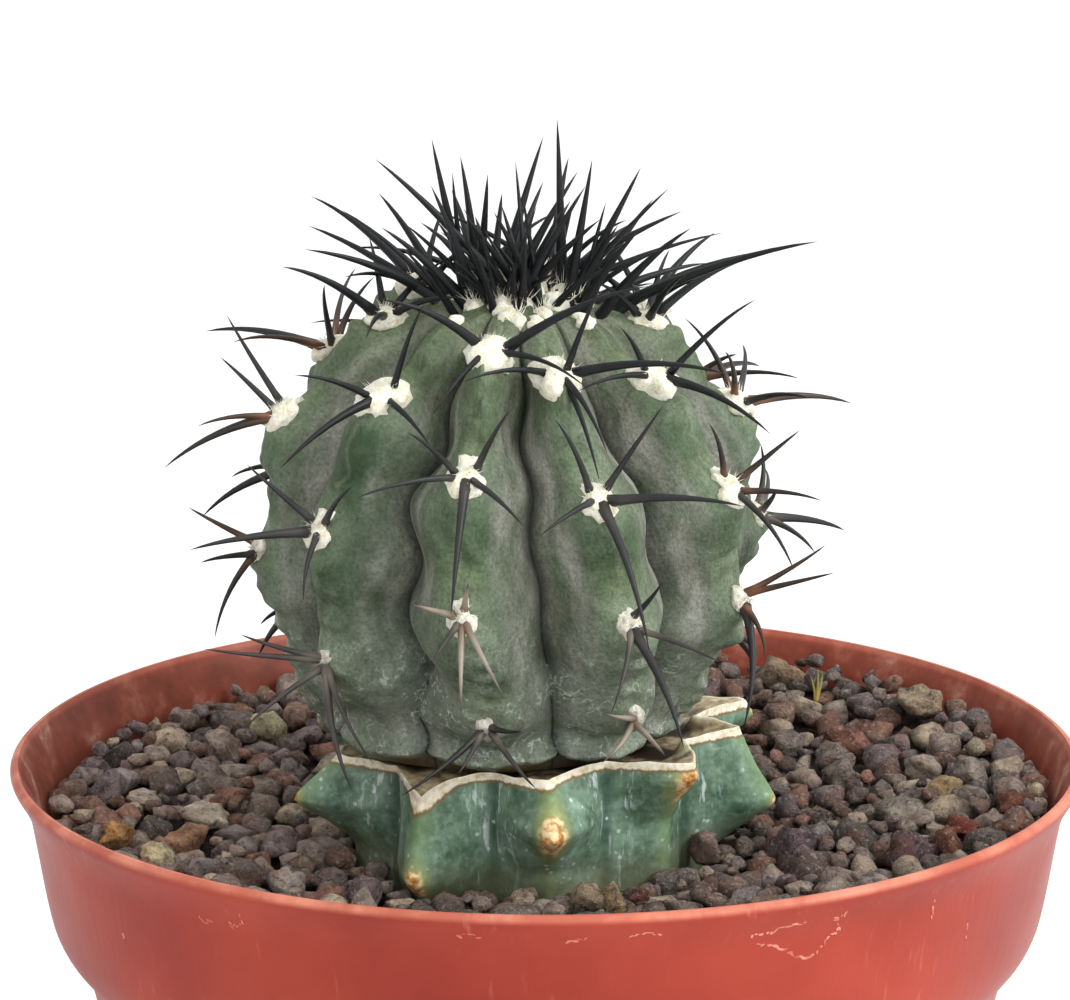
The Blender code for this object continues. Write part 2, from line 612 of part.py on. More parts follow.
def add_stone(angle, ring_radius, draws, stones):
    """One angular stone, sunk by half, kept clear of the pot's wall and of the rootstock."""
    size = STONE_RADIUS * draws.uniform(1.0 - STONE_SPREAD, 1.0 + STONE_SPREAD)
    radius = (ring_radius + draws.uniform(-1.5, 1.5)) * MM
    centre = Vector((radius * math.sin(angle), -radius * math.cos(angle), 0.0))
    from_stock = centre - STOCK_AXIS
    stock_angle = math.atan2(from_stock.x, -from_stock.y)
    nearest = stock_reach(stock_angle) * MM + size + 0.4 * MM
    if from_stock.length < nearest:
        centre = STOCK_AXIS + from_stock.normalized() * nearest
    farthest = pot_inner_radius(BED_TOP / MM) * MM - size - STONE_WALL_GAP
    if centre.length > farthest:
        centre = centre.normalized() * farthest
    centre.z = bed_height(centre) + STONE_LIFT + draws.uniform(-0.8, 0.8) * MM
    bm = bmesh.new()
    bmesh.ops.create_icosphere(bm, subdivisions=1, radius=1.0)
    for vert in bm.verts:
        vert.co *= draws.uniform(0.88, 1.0)
    turn = Matrix.Rotation(draws.uniform(0.0, math.tau), 4, "Z") @ Matrix.Rotation(draws.uniform(-0.4, 0.4), 4, "X")
    scale = Matrix.Diagonal((size, size * draws.uniform(0.86, 1.0), size * draws.uniform(0.56, 0.72), 1.0))
    bmesh.ops.transform(bm, matrix=Matrix.Translation(centre) @ turn @ scale, verts=bm.verts)
    new_object(bm, "stone", stones)


SEAT_CLIMB = math.acos(SCION_WAIST / SCION_LOW_REACH)
CREST = crest_lengths()

clear_scene()
parts = new_collection(OBJECT_NAME)
helpers = new_collection("helpers")
build_pot(parts, helpers)
build_grit(parts, helpers)
build_rootstock(parts)
build_scion(parts, helpers)
bpy.data.collections.remove(helpers)
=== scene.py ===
"""Potted copiapoa grafted on a ribbed rootstock, in a shallow plastic bowl pot filled with lava grit."""

import math
import random

import bpy
import numpy as np
from mathutils import Matrix, Vector, noise


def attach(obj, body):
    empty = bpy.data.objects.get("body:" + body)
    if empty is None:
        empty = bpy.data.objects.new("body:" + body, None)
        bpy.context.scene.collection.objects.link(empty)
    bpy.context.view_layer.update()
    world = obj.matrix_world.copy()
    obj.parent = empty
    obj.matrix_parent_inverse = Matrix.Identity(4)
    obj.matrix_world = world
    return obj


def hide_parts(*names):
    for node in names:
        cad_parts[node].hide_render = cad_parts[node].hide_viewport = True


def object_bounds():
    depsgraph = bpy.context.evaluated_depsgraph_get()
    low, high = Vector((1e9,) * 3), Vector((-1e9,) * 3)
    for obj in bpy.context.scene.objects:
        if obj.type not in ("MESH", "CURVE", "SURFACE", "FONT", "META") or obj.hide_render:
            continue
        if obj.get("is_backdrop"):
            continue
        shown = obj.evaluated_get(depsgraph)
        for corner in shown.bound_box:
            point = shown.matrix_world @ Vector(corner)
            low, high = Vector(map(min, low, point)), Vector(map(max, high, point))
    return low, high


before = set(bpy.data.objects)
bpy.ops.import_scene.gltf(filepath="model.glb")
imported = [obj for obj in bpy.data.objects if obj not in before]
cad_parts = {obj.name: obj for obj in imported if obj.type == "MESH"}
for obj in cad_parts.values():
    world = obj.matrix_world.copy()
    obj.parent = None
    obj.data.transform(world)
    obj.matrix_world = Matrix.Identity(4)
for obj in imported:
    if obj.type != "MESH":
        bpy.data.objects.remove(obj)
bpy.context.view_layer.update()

# Pot: a thin bowl of terracotta-coloured polypropylene, injection moulded in one piece, with a beaded lip,
# an upper band and a stepped-in lower body. It stands on a narrow foot ring round seven drainage holes.
MM = 0.001
POT_HEIGHT = 85.0
POT_WALL = 1.5
POT_OUTER = ((79.2, 85.0), (80.0, 84.3), (79.7, 83.3), (78.6, 81.6), (77.4, 79.2), (76.8, 76.8), (74.6, 63.0),
             (73.2, 59.0), (71.0, 56.0), (68.4, 53.6), (58.0, 0.0))
POT_FLOOR = 4.6
POT_RECESS = 3.0
POT_STEPS = 216
DRAIN_HOLES = 6
DRAIN_RADIUS = 4.0
DRAIN_REACH = 40.0
DRILL_DEPTH = 12.0
DRILL_LEVEL = 4.0


def pot_outer_radius(height):
    """Radius of the pot's outside at a height, in millimetres."""
    heights = [row[1] for row in reversed(POT_OUTER)]
    radii = [row[0] for row in reversed(POT_OUTER)]
    return np.interp(height, heights, radii)


def softened(points, passes):
    """An open line of (radius, height) with its corners cut round, its two ends kept."""
    for _ in range(passes):
        cut = [points[0]]
        for (ax, ay), (bx, by) in zip(points, points[1:]):
            cut.append((ax * 0.75 + bx * 0.25, ay * 0.75 + by * 0.25))
            cut.append((ax * 0.25 + bx * 0.75, ay * 0.25 + by * 0.75))
        points = cut + [points[-1]]
    return points


def deselect():
    if bpy.context.object and bpy.context.object.mode != "OBJECT":
        bpy.ops.object.mode_set(mode="OBJECT")
    bpy.ops.object.select_all(action="DESELECT")


def choose(piece):
    deselect()
    piece.select_set(True)
    bpy.context.view_layer.objects.active = piece


def spun(name, profile, steps):
    """Body of revolution: a circle of vertices is laid along a closed profile and spun about the Z axis."""
    deselect()
    bpy.ops.mesh.primitive_circle_add(vertices=len(profile), radius=1.0)
    piece = bpy.context.object
    piece.name = name
    piece.data.name = name
    for vert, (radius, height) in zip(piece.data.vertices, profile):
        vert.co = (radius * MM, 0.0, height * MM)
    bpy.ops.object.mode_set(mode="EDIT")
    bpy.ops.mesh.select_all(action="SELECT")
    bpy.ops.mesh.spin(steps=steps, angle=math.tau, center=(0.0, 0.0, 0.0), axis=(0.0, 0.0, 1.0))
    bpy.ops.mesh.select_all(action="SELECT")
    bpy.ops.mesh.remove_doubles(threshold=0.00002)
    bpy.ops.mesh.normals_make_consistent(inside=False)
    bpy.ops.object.mode_set(mode="OBJECT")
    return piece


def points_of(piece):
    """All the vertices of a piece, in millimetres, one row each."""
    flat = np.empty(len(piece.data.vertices) * 3, np.float32)
    piece.data.vertices.foreach_get("co", flat)
    return flat.reshape(-1, 3).astype(float) / MM


def move_points(piece, points):
    piece.data.vertices.foreach_set("co", (np.asarray(points) * MM).astype(np.float32).ravel())
    piece.data.update()


def paint_points(piece, name, values):
    """Stores one number, one vector or one colour for each vertex, for the piece's material to read."""
    values = np.asarray(values, np.float32)
    kind, field = {1: ("FLOAT", "value"), 3: ("FLOAT_VECTOR", "vector"), 4: ("FLOAT_COLOR", "color")}[
        1 if values.ndim == 1 else values.shape[1]]
    layer = piece.data.attributes.new(name, kind, "POINT")
    layer.data.foreach_set(field, values.ravel())


def linear(code):
    """An sRGB hex colour as the linear values that a shader takes."""
    values = [int(code[at:at + 2], 16) / 255.0 for at in (1, 3, 5)]
    return [v / 12.92 if v <= 0.04045 else ((v + 0.055) / 1.055) ** 2.4 for v in values] + [1.0]


def new_material(piece, name, roughness, ior):
    """A material on the piece, its shader, and the piece's own coordinates."""
    material = bpy.data.materials.new(name)
    material.use_nodes = True
    shader = material.node_tree.nodes["Principled BSDF"]
    shader.inputs["Roughness"].default_value = roughness
    shader.inputs["IOR"].default_value = ior
    piece.data.materials.append(material)
    place = material.node_tree.nodes.new("ShaderNodeTexCoord").outputs["Object"]
    return material, shader, place


def add_node(material, kind, values=None, links=None, stops=None, **settings):
    """Adds one node: its settings, the values of its inputs, what feeds them, and a ramp's colours."""
    made = material.node_tree.nodes.new(kind)
    for setting, value in settings.items():
        setattr(made, setting, value)
    for socket, value in (values or {}).items():
        made.inputs[socket].default_value = value
    for socket, source in (links or {}).items():
        if isinstance(source, bpy.types.Node):
            source = next(output for output in source.outputs if output.enabled)
        material.node_tree.links.new(source, made.inputs[socket])
    for index, (position, colour) in enumerate(stops or ()):
        elements = made.color_ramp.elements
        stop = elements[index] if index < 2 else elements.new(position)
        stop.position = position
        stop.color = linear(colour)
    return made


def wire(material, source, shader, socket):
    if isinstance(source, bpy.types.Node):
        source = next(output for output in source.outputs if output.enabled)
    material.node_tree.links.new(source, shader.inputs[socket])


def stored(material, name, output="Fac"):
    """What was painted on the piece's vertices under a name."""
    return add_node(material, "ShaderNodeAttribute", attribute_name=name).outputs[output]


def speckle(material, place, size, detail, roughness=0.5):
    """Noise whose patches are about as wide as size, in metres."""
    return add_node(material, "ShaderNodeTexNoise",
                    {"Scale": 1 / size, "Detail": detail, "Roughness": roughness}, {"Vector": place})


def ranged(material, source, start, end, high=1.0, low=0.0):
    """Runs evenly from low to high as the source goes from start to end."""
    return add_node(material, "ShaderNodeMapRange", {1: start, 2: end, 3: low, 4: high}, {0: source})


def eased(material, source, start, end, high=1.0):
    """Runs softly from nothing to high as the source goes from start to end."""
    return add_node(material, "ShaderNodeMapRange", {1: start, 2: end, 4: high}, {0: source},
                    interpolation_type="SMOOTHSTEP")


def both(material, first, second):
    """Two masks multiplied."""
    return add_node(material, "ShaderNodeMath", links={0: first, 1: second}, operation="MULTIPLY")


def tones(material, source, *stops):
    """A ramp of sRGB hex colours."""
    return add_node(material, "ShaderNodeValToRGB", links={0: source}, stops=stops)


def laid_over(material, under, mask, over):
    """A colour laid over another through a mask: over is an sRGB hex colour or a node."""
    if isinstance(over, str):
        return add_node(material, "ShaderNodeMix", {7: linear(over)}, {0: mask, 6: under}, data_type="RGBA")
    return add_node(material, "ShaderNodeMix", {}, {0: mask, 6: under, 7: over}, data_type="RGBA")


def relief(material, height, strength, distance, under=None):
    """Bump of a depth in metres, on top of another one if there is one."""
    links = {"Height": height, "Normal": under} if under else {"Height": height}
    return add_node(material, "ShaderNodeBump", {"Strength": strength, "Distance": distance}, links)


outer_wall = softened(list(POT_OUTER), 2)
inner_wall = [(POT_OUTER[-1][0] + POT_FLOOR * 0.18 - POT_WALL - 1.0, POT_FLOOR)]
inner_wall += [(radius - POT_WALL, height + 0.9) for radius, height in reversed(POT_OUTER[5:-1])]
inner_wall += [(POT_OUTER[3][0] - POT_WALL, POT_OUTER[3][1] + 0.6), (POT_OUTER[1][0] - POT_WALL - 0.1, 84.4),
               (POT_OUTER[0][0] - 0.5, POT_HEIGHT)]
pot = spun("pot_shell", outer_wall + [(55.0, 0.0), (54.4, POT_RECESS), (5.0, POT_RECESS), (5.0, POT_FLOOR)]
           + softened(inner_wall, 2), POT_STEPS)

cutters = []
for index in range(DRAIN_HOLES):
    angle = math.tau * index / DRAIN_HOLES
    centre = (DRAIN_REACH * MM * math.cos(angle), DRAIN_REACH * MM * math.sin(angle), DRILL_LEVEL * MM)
    deselect()
    bpy.ops.mesh.primitive_cylinder_add(vertices=28, radius=DRAIN_RADIUS * MM, depth=DRILL_DEPTH * MM,
                                        location=centre)
    cutters.append(bpy.context.object)
for cutter in cutters:
    cutter.select_set(True)
bpy.context.view_layer.objects.active = cutters[0]
bpy.ops.object.join()
drill = cutters[0]
choose(pot)
drain = pot.modifiers.new("drain_holes", "BOOLEAN")
drain.operation = "DIFFERENCE"
drain.solver = "EXACT"
drain.object = drill
bpy.ops.object.modifier_apply(modifier="drain_holes")
bpy.data.objects.remove(drill, do_unlink=True)
pot.data.materials.clear()
choose(pot)
bpy.ops.object.shade_smooth_by_angle(angle=math.radians(38.0))

pot_points = points_of(pot)
pot_reach = np.hypot(pot_points[:, 0], pot_points[:, 1])
paint_points(pot, "inside", (pot_reach < pot_outer_radius(pot_points[:, 2]) - 0.9).astype(float)
             * (pot_points[:, 2] > POT_FLOOR - 0.5))

# Injection-moulded polypropylene: a satin skin that shows faint flow marks, fine upright scratches that turn
# chalky, a paler lip that is partly rubbed wear and partly a painted highlight along its top, and inside a
# lime and dirt film left by watering, with painted shade that darkens the inside wall, most towards the grit.
plastic, shader, place = new_material(pot, "moulded_terracotta_polypropylene", 0.4, 1.49)
shader.inputs["Specular IOR Level"].default_value = 0.2
inside = stored(plastic, "inside")
height = add_node(plastic, "ShaderNodeSeparateXYZ", links={0: place}).outputs["Z"]
flow = speckle(plastic, place, 0.030, 5.0)
body = tones(plastic, flow, (0.32, "#872A1D"), (0.50, "#953324"), (0.68, "#A03B2A"))
upright = add_node(plastic, "ShaderNodeMapping", {"Scale": (1.0, 1.0, 0.055)}, {"Vector": place})
drawn = speckle(plastic, upright, 0.0014, 2.0)
drawn_mask = eased(plastic, drawn, 0.60, 0.78)
worn = speckle(plastic, place, 0.016, 3.0)
worn_mask = ranged(plastic, worn, 0.46, 0.70, 0.28)
body = laid_over(plastic, body, both(plastic, drawn_mask, worn_mask), "#DE9482")
# Painted highlight and wear: a pale band along the top of the lip all round, paler in rubbed patches.
lip = eased(plastic, height, 0.0836, 0.0846)
film = speckle(plastic, place, 0.011, 5.0, 0.62)
lip_wear_and_highlight = ranged(plastic, film, 0.42, 0.62, 0.92, 0.40)
body = laid_over(plastic, body, both(plastic, lip, lip_wear_and_highlight), "#CE826A")
# Painted shade with the dirt: the inside wall is darker and browner than the outside, and darkest towards the
# grit.
inner = tones(plastic, film, (0.34, "#743626"), (0.50, "#8C4433"), (0.58, "#A0604E"), (0.70, "#CDB0A0"))
inner = laid_over(plastic, inner, eased(plastic, height, 0.0790, 0.0735, 0.6), "#6A5044")
inside_low = ranged(plastic, height, 0.0847, 0.0836)
body = laid_over(plastic, body, both(plastic, inside, inside_low), inner)
wire(plastic, body, shader, "Base Color")
wire(plastic, ranged(plastic, worn, 0.0, 1.0, 0.52, 0.34), shader, "Roughness")
peel = speckle(plastic, place, 0.0011, 2.0)
grooves = relief(plastic, drawn, 0.12, 0.0003)
skin = relief(plastic, peel, 0.10, 0.0002, grooves)
wire(plastic, skin, shader, "Normal")
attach(pot, "root")
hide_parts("pot")

# Scuffs: the pale slivers that a key or a trowel has torn up in the pot's skin just under the lip. Each
# stands a few hundredths of a millimetre off the wall, in short straight runs.
# Each run: turn round the pot from the front in degrees, and height in millimetres.
SCUFF_RUNS = (
    ((20.8, 79.7), (21.5, 80.2), (22.8, 80.3), (23.9, 80.5), (24.8, 80.6), (25.7, 80.9), (26.9, 81.1)),
    ((31.6, 82.0), (31.2, 81.2), (30.3, 80.6), (31.1, 79.6), (31.1, 78.4), (30.2, 78.1), (29.5, 77.1),
     (28.7, 75.6), (27.7, 75.3), (26.7, 75.7), (25.2, 76.8), (24.0, 77.8), (22.8, 78.6), (21.5, 78.4)),
    ((-32.6, 81.2), (-32.7, 79.4), (-34.1, 78.4), (-34.5, 79.1)),
    ((-38.5, 79.1), (-38.1, 78.2), (-37.0, 78.4)),
    ((-9.0, 82.0), (-6.5, 81.8)), ((2.0, 81.3), (4.0, 81.5)), ((8.0, 82.0), (11.5, 81.8)),
    ((44.0, 80.0), (44.3, 77.0)), ((51.0, 74.0), (51.2, 71.5)), ((-52.0, 72.0), (-51.8, 70.4)))
SCUFF_THICKNESS = 0.05
SCUFF_SPACING = 0.75
MM_PER_DEGREE = 1.36


def take_mesh(piece):
    """The points and faces of a piece that was made only to be copied, and is then removed."""
    points = points_of(piece) * MM
    faces = np.array([face.vertices[:] for face in piece.data.polygons])
    bpy.data.objects.remove(piece, do_unlink=True)
    return points, faces


def unit_ball(detail):
    deselect()
    bpy.ops.mesh.primitive_ico_sphere_add(subdivisions=detail, radius=1.0)
    return take_mesh(bpy.context.object)


def copies_in_one(name, copies):
    """One piece from many copies, each given as its points in millimetres and the master's faces."""
    starts = np.cumsum([0] + [len(points) for points, _ in copies])
    faces = np.concatenate([faces + start for (_, faces), start in zip(copies, starts)])
    mesh = bpy.data.meshes.new(name)
    mesh.vertices.add(starts[-1])
    mesh.loops.add(faces.size)
    mesh.polygons.add(len(faces))
    mesh.polygons.foreach_set("loop_start", np.arange(0, faces.size, faces.shape[1]))
    mesh.loops.foreach_set("vertex_index", faces.ravel())
    mesh.update(calc_edges=True)
    mesh.validate()
    piece = bpy.data.objects.new(name, mesh)
    bpy.context.collection.objects.link(piece)
    move_points(piece, np.concatenate([points for points, _ in copies]))
    choose(piece)
    bpy.ops.object.shade_smooth()
    return piece


sliver_points, sliver_faces = unit_ball(2)
scuff_draws = random.Random(17)
slivers = []
for run in SCUFF_RUNS:
    for (turn_a, height_a), (turn_b, height_b) in zip(run, run[1:]):
        stretch = math.hypot((turn_b - turn_a) * MM_PER_DEGREE, height_b - height_a)
        pieces = max(2, round(stretch / SCUFF_SPACING))
        for step in range(pieces):
            share = (step + scuff_draws.uniform(0.2, 0.8)) / pieces
            turn = math.radians(turn_a + (turn_b - turn_a) * share)
            level = height_a + (height_b - height_a) * share + scuff_draws.uniform(-0.30, 0.30)
            out = np.array((math.sin(turn), -math.cos(turn), 0.0))
            side = np.array((math.cos(turn), math.sin(turn), 0.0))
            lean = math.atan2(height_b - height_a, (turn_b - turn_a) * MM_PER_DEGREE)
            lean += scuff_draws.uniform(-0.7, 0.7)
            along = side * math.cos(lean) + np.array((0.0, 0.0, math.sin(lean)))
            size = (scuff_draws.uniform(0.25, 0.75), scuff_draws.uniform(0.08, 0.26), SCUFF_THICKNESS)
            base = out * (float(pot_outer_radius(level)) + SCUFF_THICKNESS * 0.4) + (0.0, 0.0, level)
            turned = (sliver_points * size) @ np.stack((along, np.cross(out, along), out))
            slivers.append((base + turned, sliver_faces))
scuffs = copies_in_one("pot_scuffs", slivers)

# Torn polypropylene: the same plastic turned pale and chalky where it has been stretched.
torn, shader, place = new_material(scuffs, "stress_whitened_polypropylene", 0.7, 1.49)
pale = speckle(torn, place, 0.0015, 2.0)
wire(torn, tones(torn, pale, (0.35, "#AE4C36"), (0.6, "#CB7F69")), shader, "Base Color")
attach(scuffs, "root")
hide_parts("pot")

# Grit bed: the fine dark lava sand between and under the stones, poured in dry and settled. It fills the
# pot to the bottom, is dished round the plant, and leaves a hole for the rootstock's stem.
STOCK_AXIS = np.array((-2.1, -5.0, 0.0))
BED_TOP = 69.5
BED_DISH = 0.16
BED_SLOPE = (0.03, 0.02)
# Bumps of the sand: how many to a millimetre, and how high.
BED_BUMPS = ((0.45, 0.9), (1.3, 0.5))
BED_SINK = 0.7
BED_RINGS = 34
BED_STEPS = 180
STEM_HOLE_RADIUS = 29.6
STEM_HOLE_FLOOR = 57.7


def pot_inner_radius(height):
    return pot_outer_radius(height) - POT_WALL


def bed_height(x, y):
    """The bed is dished: it climbs from the stem hole to the pot's wall, most at the back and the right."""
    return BED_TOP + BED_DISH * (math.hypot(x, y) - STEM_HOLE_RADIUS) + BED_SLOPE[0] * x + BED_SLOPE[1] * y


# Down the bed's side: each level and its gap to the pot's wall.
bed_floor = POT_FLOOR + 0.3
bed_wall = ((BED_TOP, 0.9), (62.0, 1.2), (56.5, 2.5), (52.0, 0.8), (bed_floor, 1.9))
bed_profile = [(float(pot_inner_radius(level)) - gap, level) for level, gap in bed_wall]
bed_profile += [(0.0, bed_floor), (0.0, STEM_HOLE_FLOOR), (STEM_HOLE_RADIUS, STEM_HOLE_FLOOR)]
bed_profile += [(STEM_HOLE_RADIUS + (bed_profile[0][0] - STEM_HOLE_RADIUS) * step / BED_RINGS, BED_TOP)
                for step in range(BED_RINGS)]
bed = spun("grit_bed", bed_profile, BED_STEPS)
bed_points = points_of(bed)
for index, point in enumerate(bed_points):
    if math.hypot(point[0], point[1]) < STEM_HOLE_RADIUS + 0.1 and point[2] > STEM_HOLE_FLOOR - 0.1:
        point += STOCK_AXIS
    if point[2] > BED_TOP - 0.1:
        bump = sum(noise.noise(Vector(point) * pitch) * height for pitch, height in BED_BUMPS)
        point[2] = bed_height(point[0], point[1]) + bump - BED_SINK
move_points(bed, bed_points)

# Crushed scoria dust: matt, almost black in the gaps, with rusty and grey grains of about a millimetre.
sand, shader, place = new_material(bed, "scoria_sand", 0.95, 1.5)
grain = add_node(sand, "ShaderNodeTexVoronoi", {"Scale": 1 / 0.0013}, {"Vector": place})
dust = speckle(sand, place, 0.0015, 5.0)
tone = tones(sand, dust, (0.3, "#1C1512"), (0.5, "#33261F"), (0.68, "#4B382E"), (0.85, "#6A594D"))
wire(sand, tone, shader, "Base Color")
wire(sand, relief(sand, grain, 0.9, 0.0006), shader, "Normal")
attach(bed, "root")
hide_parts("grit")

# Lava stones: crushed scoria of 3 to 11 mm, each a blunt, pitted lump, with a few paler pumice and clay
# ones. They lie loose in two layers on the bed, up against the rootstock and the pot's wall.
# They keep clear of the rootstock's ribs: turn in degrees, radius and height of the knob, then of the cut.
STOCK_RIBS = np.array((
    (-111.0, 35.0, 87.5, 34.0, 89.7), (-75.0, 37.0, 81.6, 28.9, 88.4), (-31.0, 34.2, 74.5, 30.7, 87.0),
    (5.0, 36.0, 83.0, 27.5, 90.1), (46.0, 33.0, 88.5, 32.0, 91.3), (84.0, 36.6, 79.4, 30.6, 91.0),
    (113.0, 37.0, 88.0, 34.5, 90.4), (155.0, 35.0, 80.0, 28.5, 90.0), (202.0, 36.0, 84.0, 29.5, 90.0)))
STOCK_VALLEY = 24.2
STOCK_LOW_RADIUS = 27.0
STOCK_WIDEST = 38.5
KNOB_UNDERSIDE = 7.0
CREST_ROUNDING = 0.08
TIP_ROUNDING = 0.9
STONE_TONES = ("#8F817A", "#7A6D68", "#9C8E85", "#6C625D", "#8C7365", "#9A7262", "#7C6155", "#A6958A",
               "#B0A193", "#938886", "#827375", "#C0AF99", "#978881", "#827369")
# Breaks of a stone: how many, how far out as a share of its radius, and how flat.
STONE_BREAKS = (9, 14)
BREAK_DEPTHS = (0.50, 0.84)
BREAK_FLATNESS = 0.92
# Lumps of a stone: how many to its radius, and how high.
STONE_LUMPS = ((1.5, 0.26), (3.4, 0.20), (8.5, 0.12))
# Radii of the dropped stones in millimetres: their middle value, its spread, the least and the most.
STONE_MIDDLE = 3.35
STONE_SPREAD = 0.34
STONE_LEAST = 1.7
STONE_MOST = 5.3
CHIP_SIZES = (1.2, 1.9)
# How stones come to rest, as shares of their radii: sunk in the bed, close together, clear of the wall.
REST_IN_BED = 0.45
REST_TOGETHER = 0.80
REST_ON_TOP = 0.82
KEEP_OFF_WALL = 0.92
KEEP_OFF_STOCK = 0.78
WALL_GAP = 0.15
HEAP_INNER = 27.0
HEAP_OUTER = 75.0
HEAP_TOP = 73.4
HEAP_DISH = 0.0014
SWELL_PITCH = 0.06
SWELL_HEIGHT = 1.4
STONE_TOP = 0.6
MOST_STONES = 2200
# How much paler than the rest the stones at the left are painted: painted light on that side.
LEFT_PAINTED_LIGHT = 1.5
PLACES_TRIED = 9
MISSES_TO_CHIPS = 80
MISSES_TO_END = 240
# The stones that stand out in the photograph: place and radius (mm), how flat, colour.
KNOWN_STONES = (
    (53.4, -6.6, 77.6, 5.4, 0.82, "#B0A699"), (59.8, 1.0, 79.2, 2.7, 0.80, "#C9B27E"),
    (60.9, -19.4, 79.6, 3.0, 0.70, "#93452F"), (52.9, -27.4, 78.2, 3.8, 0.95, "#665053"),
    (-50.8, 2.9, 74.6, 4.6, 0.50, "#C9BFAD"), (-52.9, -8.6, 74.7, 3.7, 0.72, "#B58B6A"),
    (-56.8, -20.8, 75.4, 2.6, 0.90, "#D6CAA4"), (-63.2, -13.1, 76.1, 3.0, 0.95, "#AD8250"),
    (-66.6, 9.7, 76.9, 3.9, 0.90, "#8A7B80"), (-60.5, 5.8, 75.9, 3.2, 0.62, "#B8A89A"),
    (-51.0, 33.6, 76.8, 4.1, 0.85, "#9C9086"), (-43.6, 41.4, 77.0, 3.3, 0.90, "#D0CAA4"),
    (6.1, -44.0, 76.6, 3.0, 0.80, "#98866F"), (9.6, -44.8, 76.6, 2.4, 0.95, "#BCA57C"),
    (12.9, -45.2, 77.0, 2.0, 0.80, "#77483C"), (23.4, -17.0, 76.0, 2.9, 1.00, "#9A837C"),
    (47.0, 27.6, 78.3, 4.0, 0.80, "#9C6958"), (69.0, -12.3, 81.0, 3.4, 0.80, "#84503F"),
    (58.4, -27.3, 79.2, 3.4, 0.80, "#87523C"), (36.4, -16.6, 75.4, 4.6, 0.85, "#66545B"),
    (37.8, -26.5, 75.7, 4.4, 0.85, "#766059"), (-45.6, -26.8, 74.2, 4.4, 0.80, "#6C605A"),
    (-37.4, -29.6, 73.9, 3.4, 0.80, "#A59C94"), (-50.8, 16.9, 75.2, 3.9, 0.80, "#8C8078"),
    (44.7, 23.5, 77.4, 3.4, 0.85, "#9A8D85"), (57.8, 12.9, 79.1, 3.5, 0.80, "#B4A498"),
    (38.2, 30.9, 77.3, 3.3, 0.80, "#8C807A"), (44.8, 15.7, 77.0, 3.3, 0.80, "#9A8E84"),
    (34.5, -12.5, 75.0, 3.2, 0.90, "#86685A"), (-26.5, -33.0, 73.6, 3.2, 1.00, "#7C6C70"),
    (-31.5, -36.0, 74.0, 3.2, 0.80, "#865E50"), (63.8, 5.7, 80.0, 3.2, 0.90, "#998F86"),
    (59.0, 36.5, 82.8, 4.1, 0.66, "#A5937A"), (38.0, 56.5, 82.0, 3.5, 0.85, "#BCA488"))


def rib_ridge(rib, height):
    """How far a rootstock rib's crest stands from the axis: out to its knob, then back to the buried stem."""
    tip_radius, tip_height, cut_radius, cut_height = STOCK_RIBS[rib, 1:].T
    above = np.clip((height - tip_height) / (cut_height - tip_height), 0.0, 1.0)
    below = np.clip((tip_height - height) / KNOB_UNDERSIDE, 0.0, 1.0)
    return np.where(height >= tip_height, tip_radius + (cut_radius - tip_radius) * above,
                    tip_radius + (STOCK_LOW_RADIUS - tip_radius) * below ** 0.85)


def stock_radius(rib_place, height):
    """Radius of the rootstock's skin: ribs are counted from 0 to 9 round it."""
    rib_place = np.asarray(rib_place, float)
    height = np.asarray(height, float)
    near = np.round(rib_place).astype(int) % len(STOCK_RIBS)
    away = np.abs(rib_place - np.round(rib_place)) * 2.0
    away = np.sqrt(away ** 2 + CREST_ROUNDING ** 2) - CREST_ROUNDING
    below = rib_ridge(near, height - TIP_ROUNDING)
    above = rib_ridge(near, height + TIP_ROUNDING)
    ridge = (below + 2.0 * rib_ridge(near, height) + above) / 4.0
    valley = STOCK_VALLEY - 1.5 * np.clip((72.0 - height) / 10.0, 0.0, 1.0)
    return valley + (ridge - valley) * np.maximum(0.0, 1.0 - away) ** 1.35


def stock_rib_place(angle):
    """The place among the ribs that lies at an angle in degrees, 0 at the front and growing to the right."""
    marks = list(STOCK_RIBS[:, 0]) + [STOCK_RIBS[0, 0] + 360.0]
    turned = (angle - marks[0]) % 360.0 + marks[0]
    return np.interp(turned, marks, range(len(marks)))


def stone_master(seed, detail):
    """One lump: a ball with some flat breaks struck off it, then weathered. Returns vertices and faces."""
    draws = random.Random(seed)
    points, faces = unit_ball(detail)
    for _ in range(draws.randint(*STONE_BREAKS)):
        facing = np.array(Vector((draws.gauss(0, 1), draws.gauss(0, 1), draws.gauss(0, 1))).normalized())
        depth = draws.uniform(*BREAK_DEPTHS)
        over = np.maximum(0.0, points @ facing - depth)
        points = points - np.outer(over * BREAK_FLATNESS, facing)
    shift = Vector((seed * 3.7, seed * 1.3, seed * 2.1))
    for point in points:
        spot = Vector(point) + shift
        point *= 1.0 + sum(noise.noise(spot * pitch) * height for pitch, height in STONE_LUMPS)
    return points, faces


def smooth_step(value, low, high):
    share = np.clip((value - low) / (high - low), 0.0, 1.0)
    return share * share * (3.0 - 2.0 * share)


def heap_level(x, y):
    """Height that the tops of the stones reach at a place."""
    return HEAP_TOP + BED_SLOPE[0] * x + BED_SLOPE[1] * y + HEAP_DISH * (x * x + y * y)


def clear_of_stock(x, y, z, radius):
    """True if a stone there keeps off the rootstock's ribs and knobs."""
    across = x - STOCK_AXIS[0]
    along = y - STOCK_AXIS[1]
    reach = math.hypot(across, along)
    if reach > STOCK_WIDEST + radius:
        return True
    spread = math.degrees(math.asin(min(0.9, radius / max(reach, 1.0))))
    angle = math.degrees(math.atan2(across, -along))
    turns = stock_rib_place(angle + np.array((-0.8, 0.0, 0.8, 0.0, 0.0)) * spread)
    levels = z + np.array((0.0, -0.6, 0.0, 0.0, 0.6)) * radius
    return reach - radius * KEEP_OFF_STOCK > float(stock_radius(turns, levels).max())


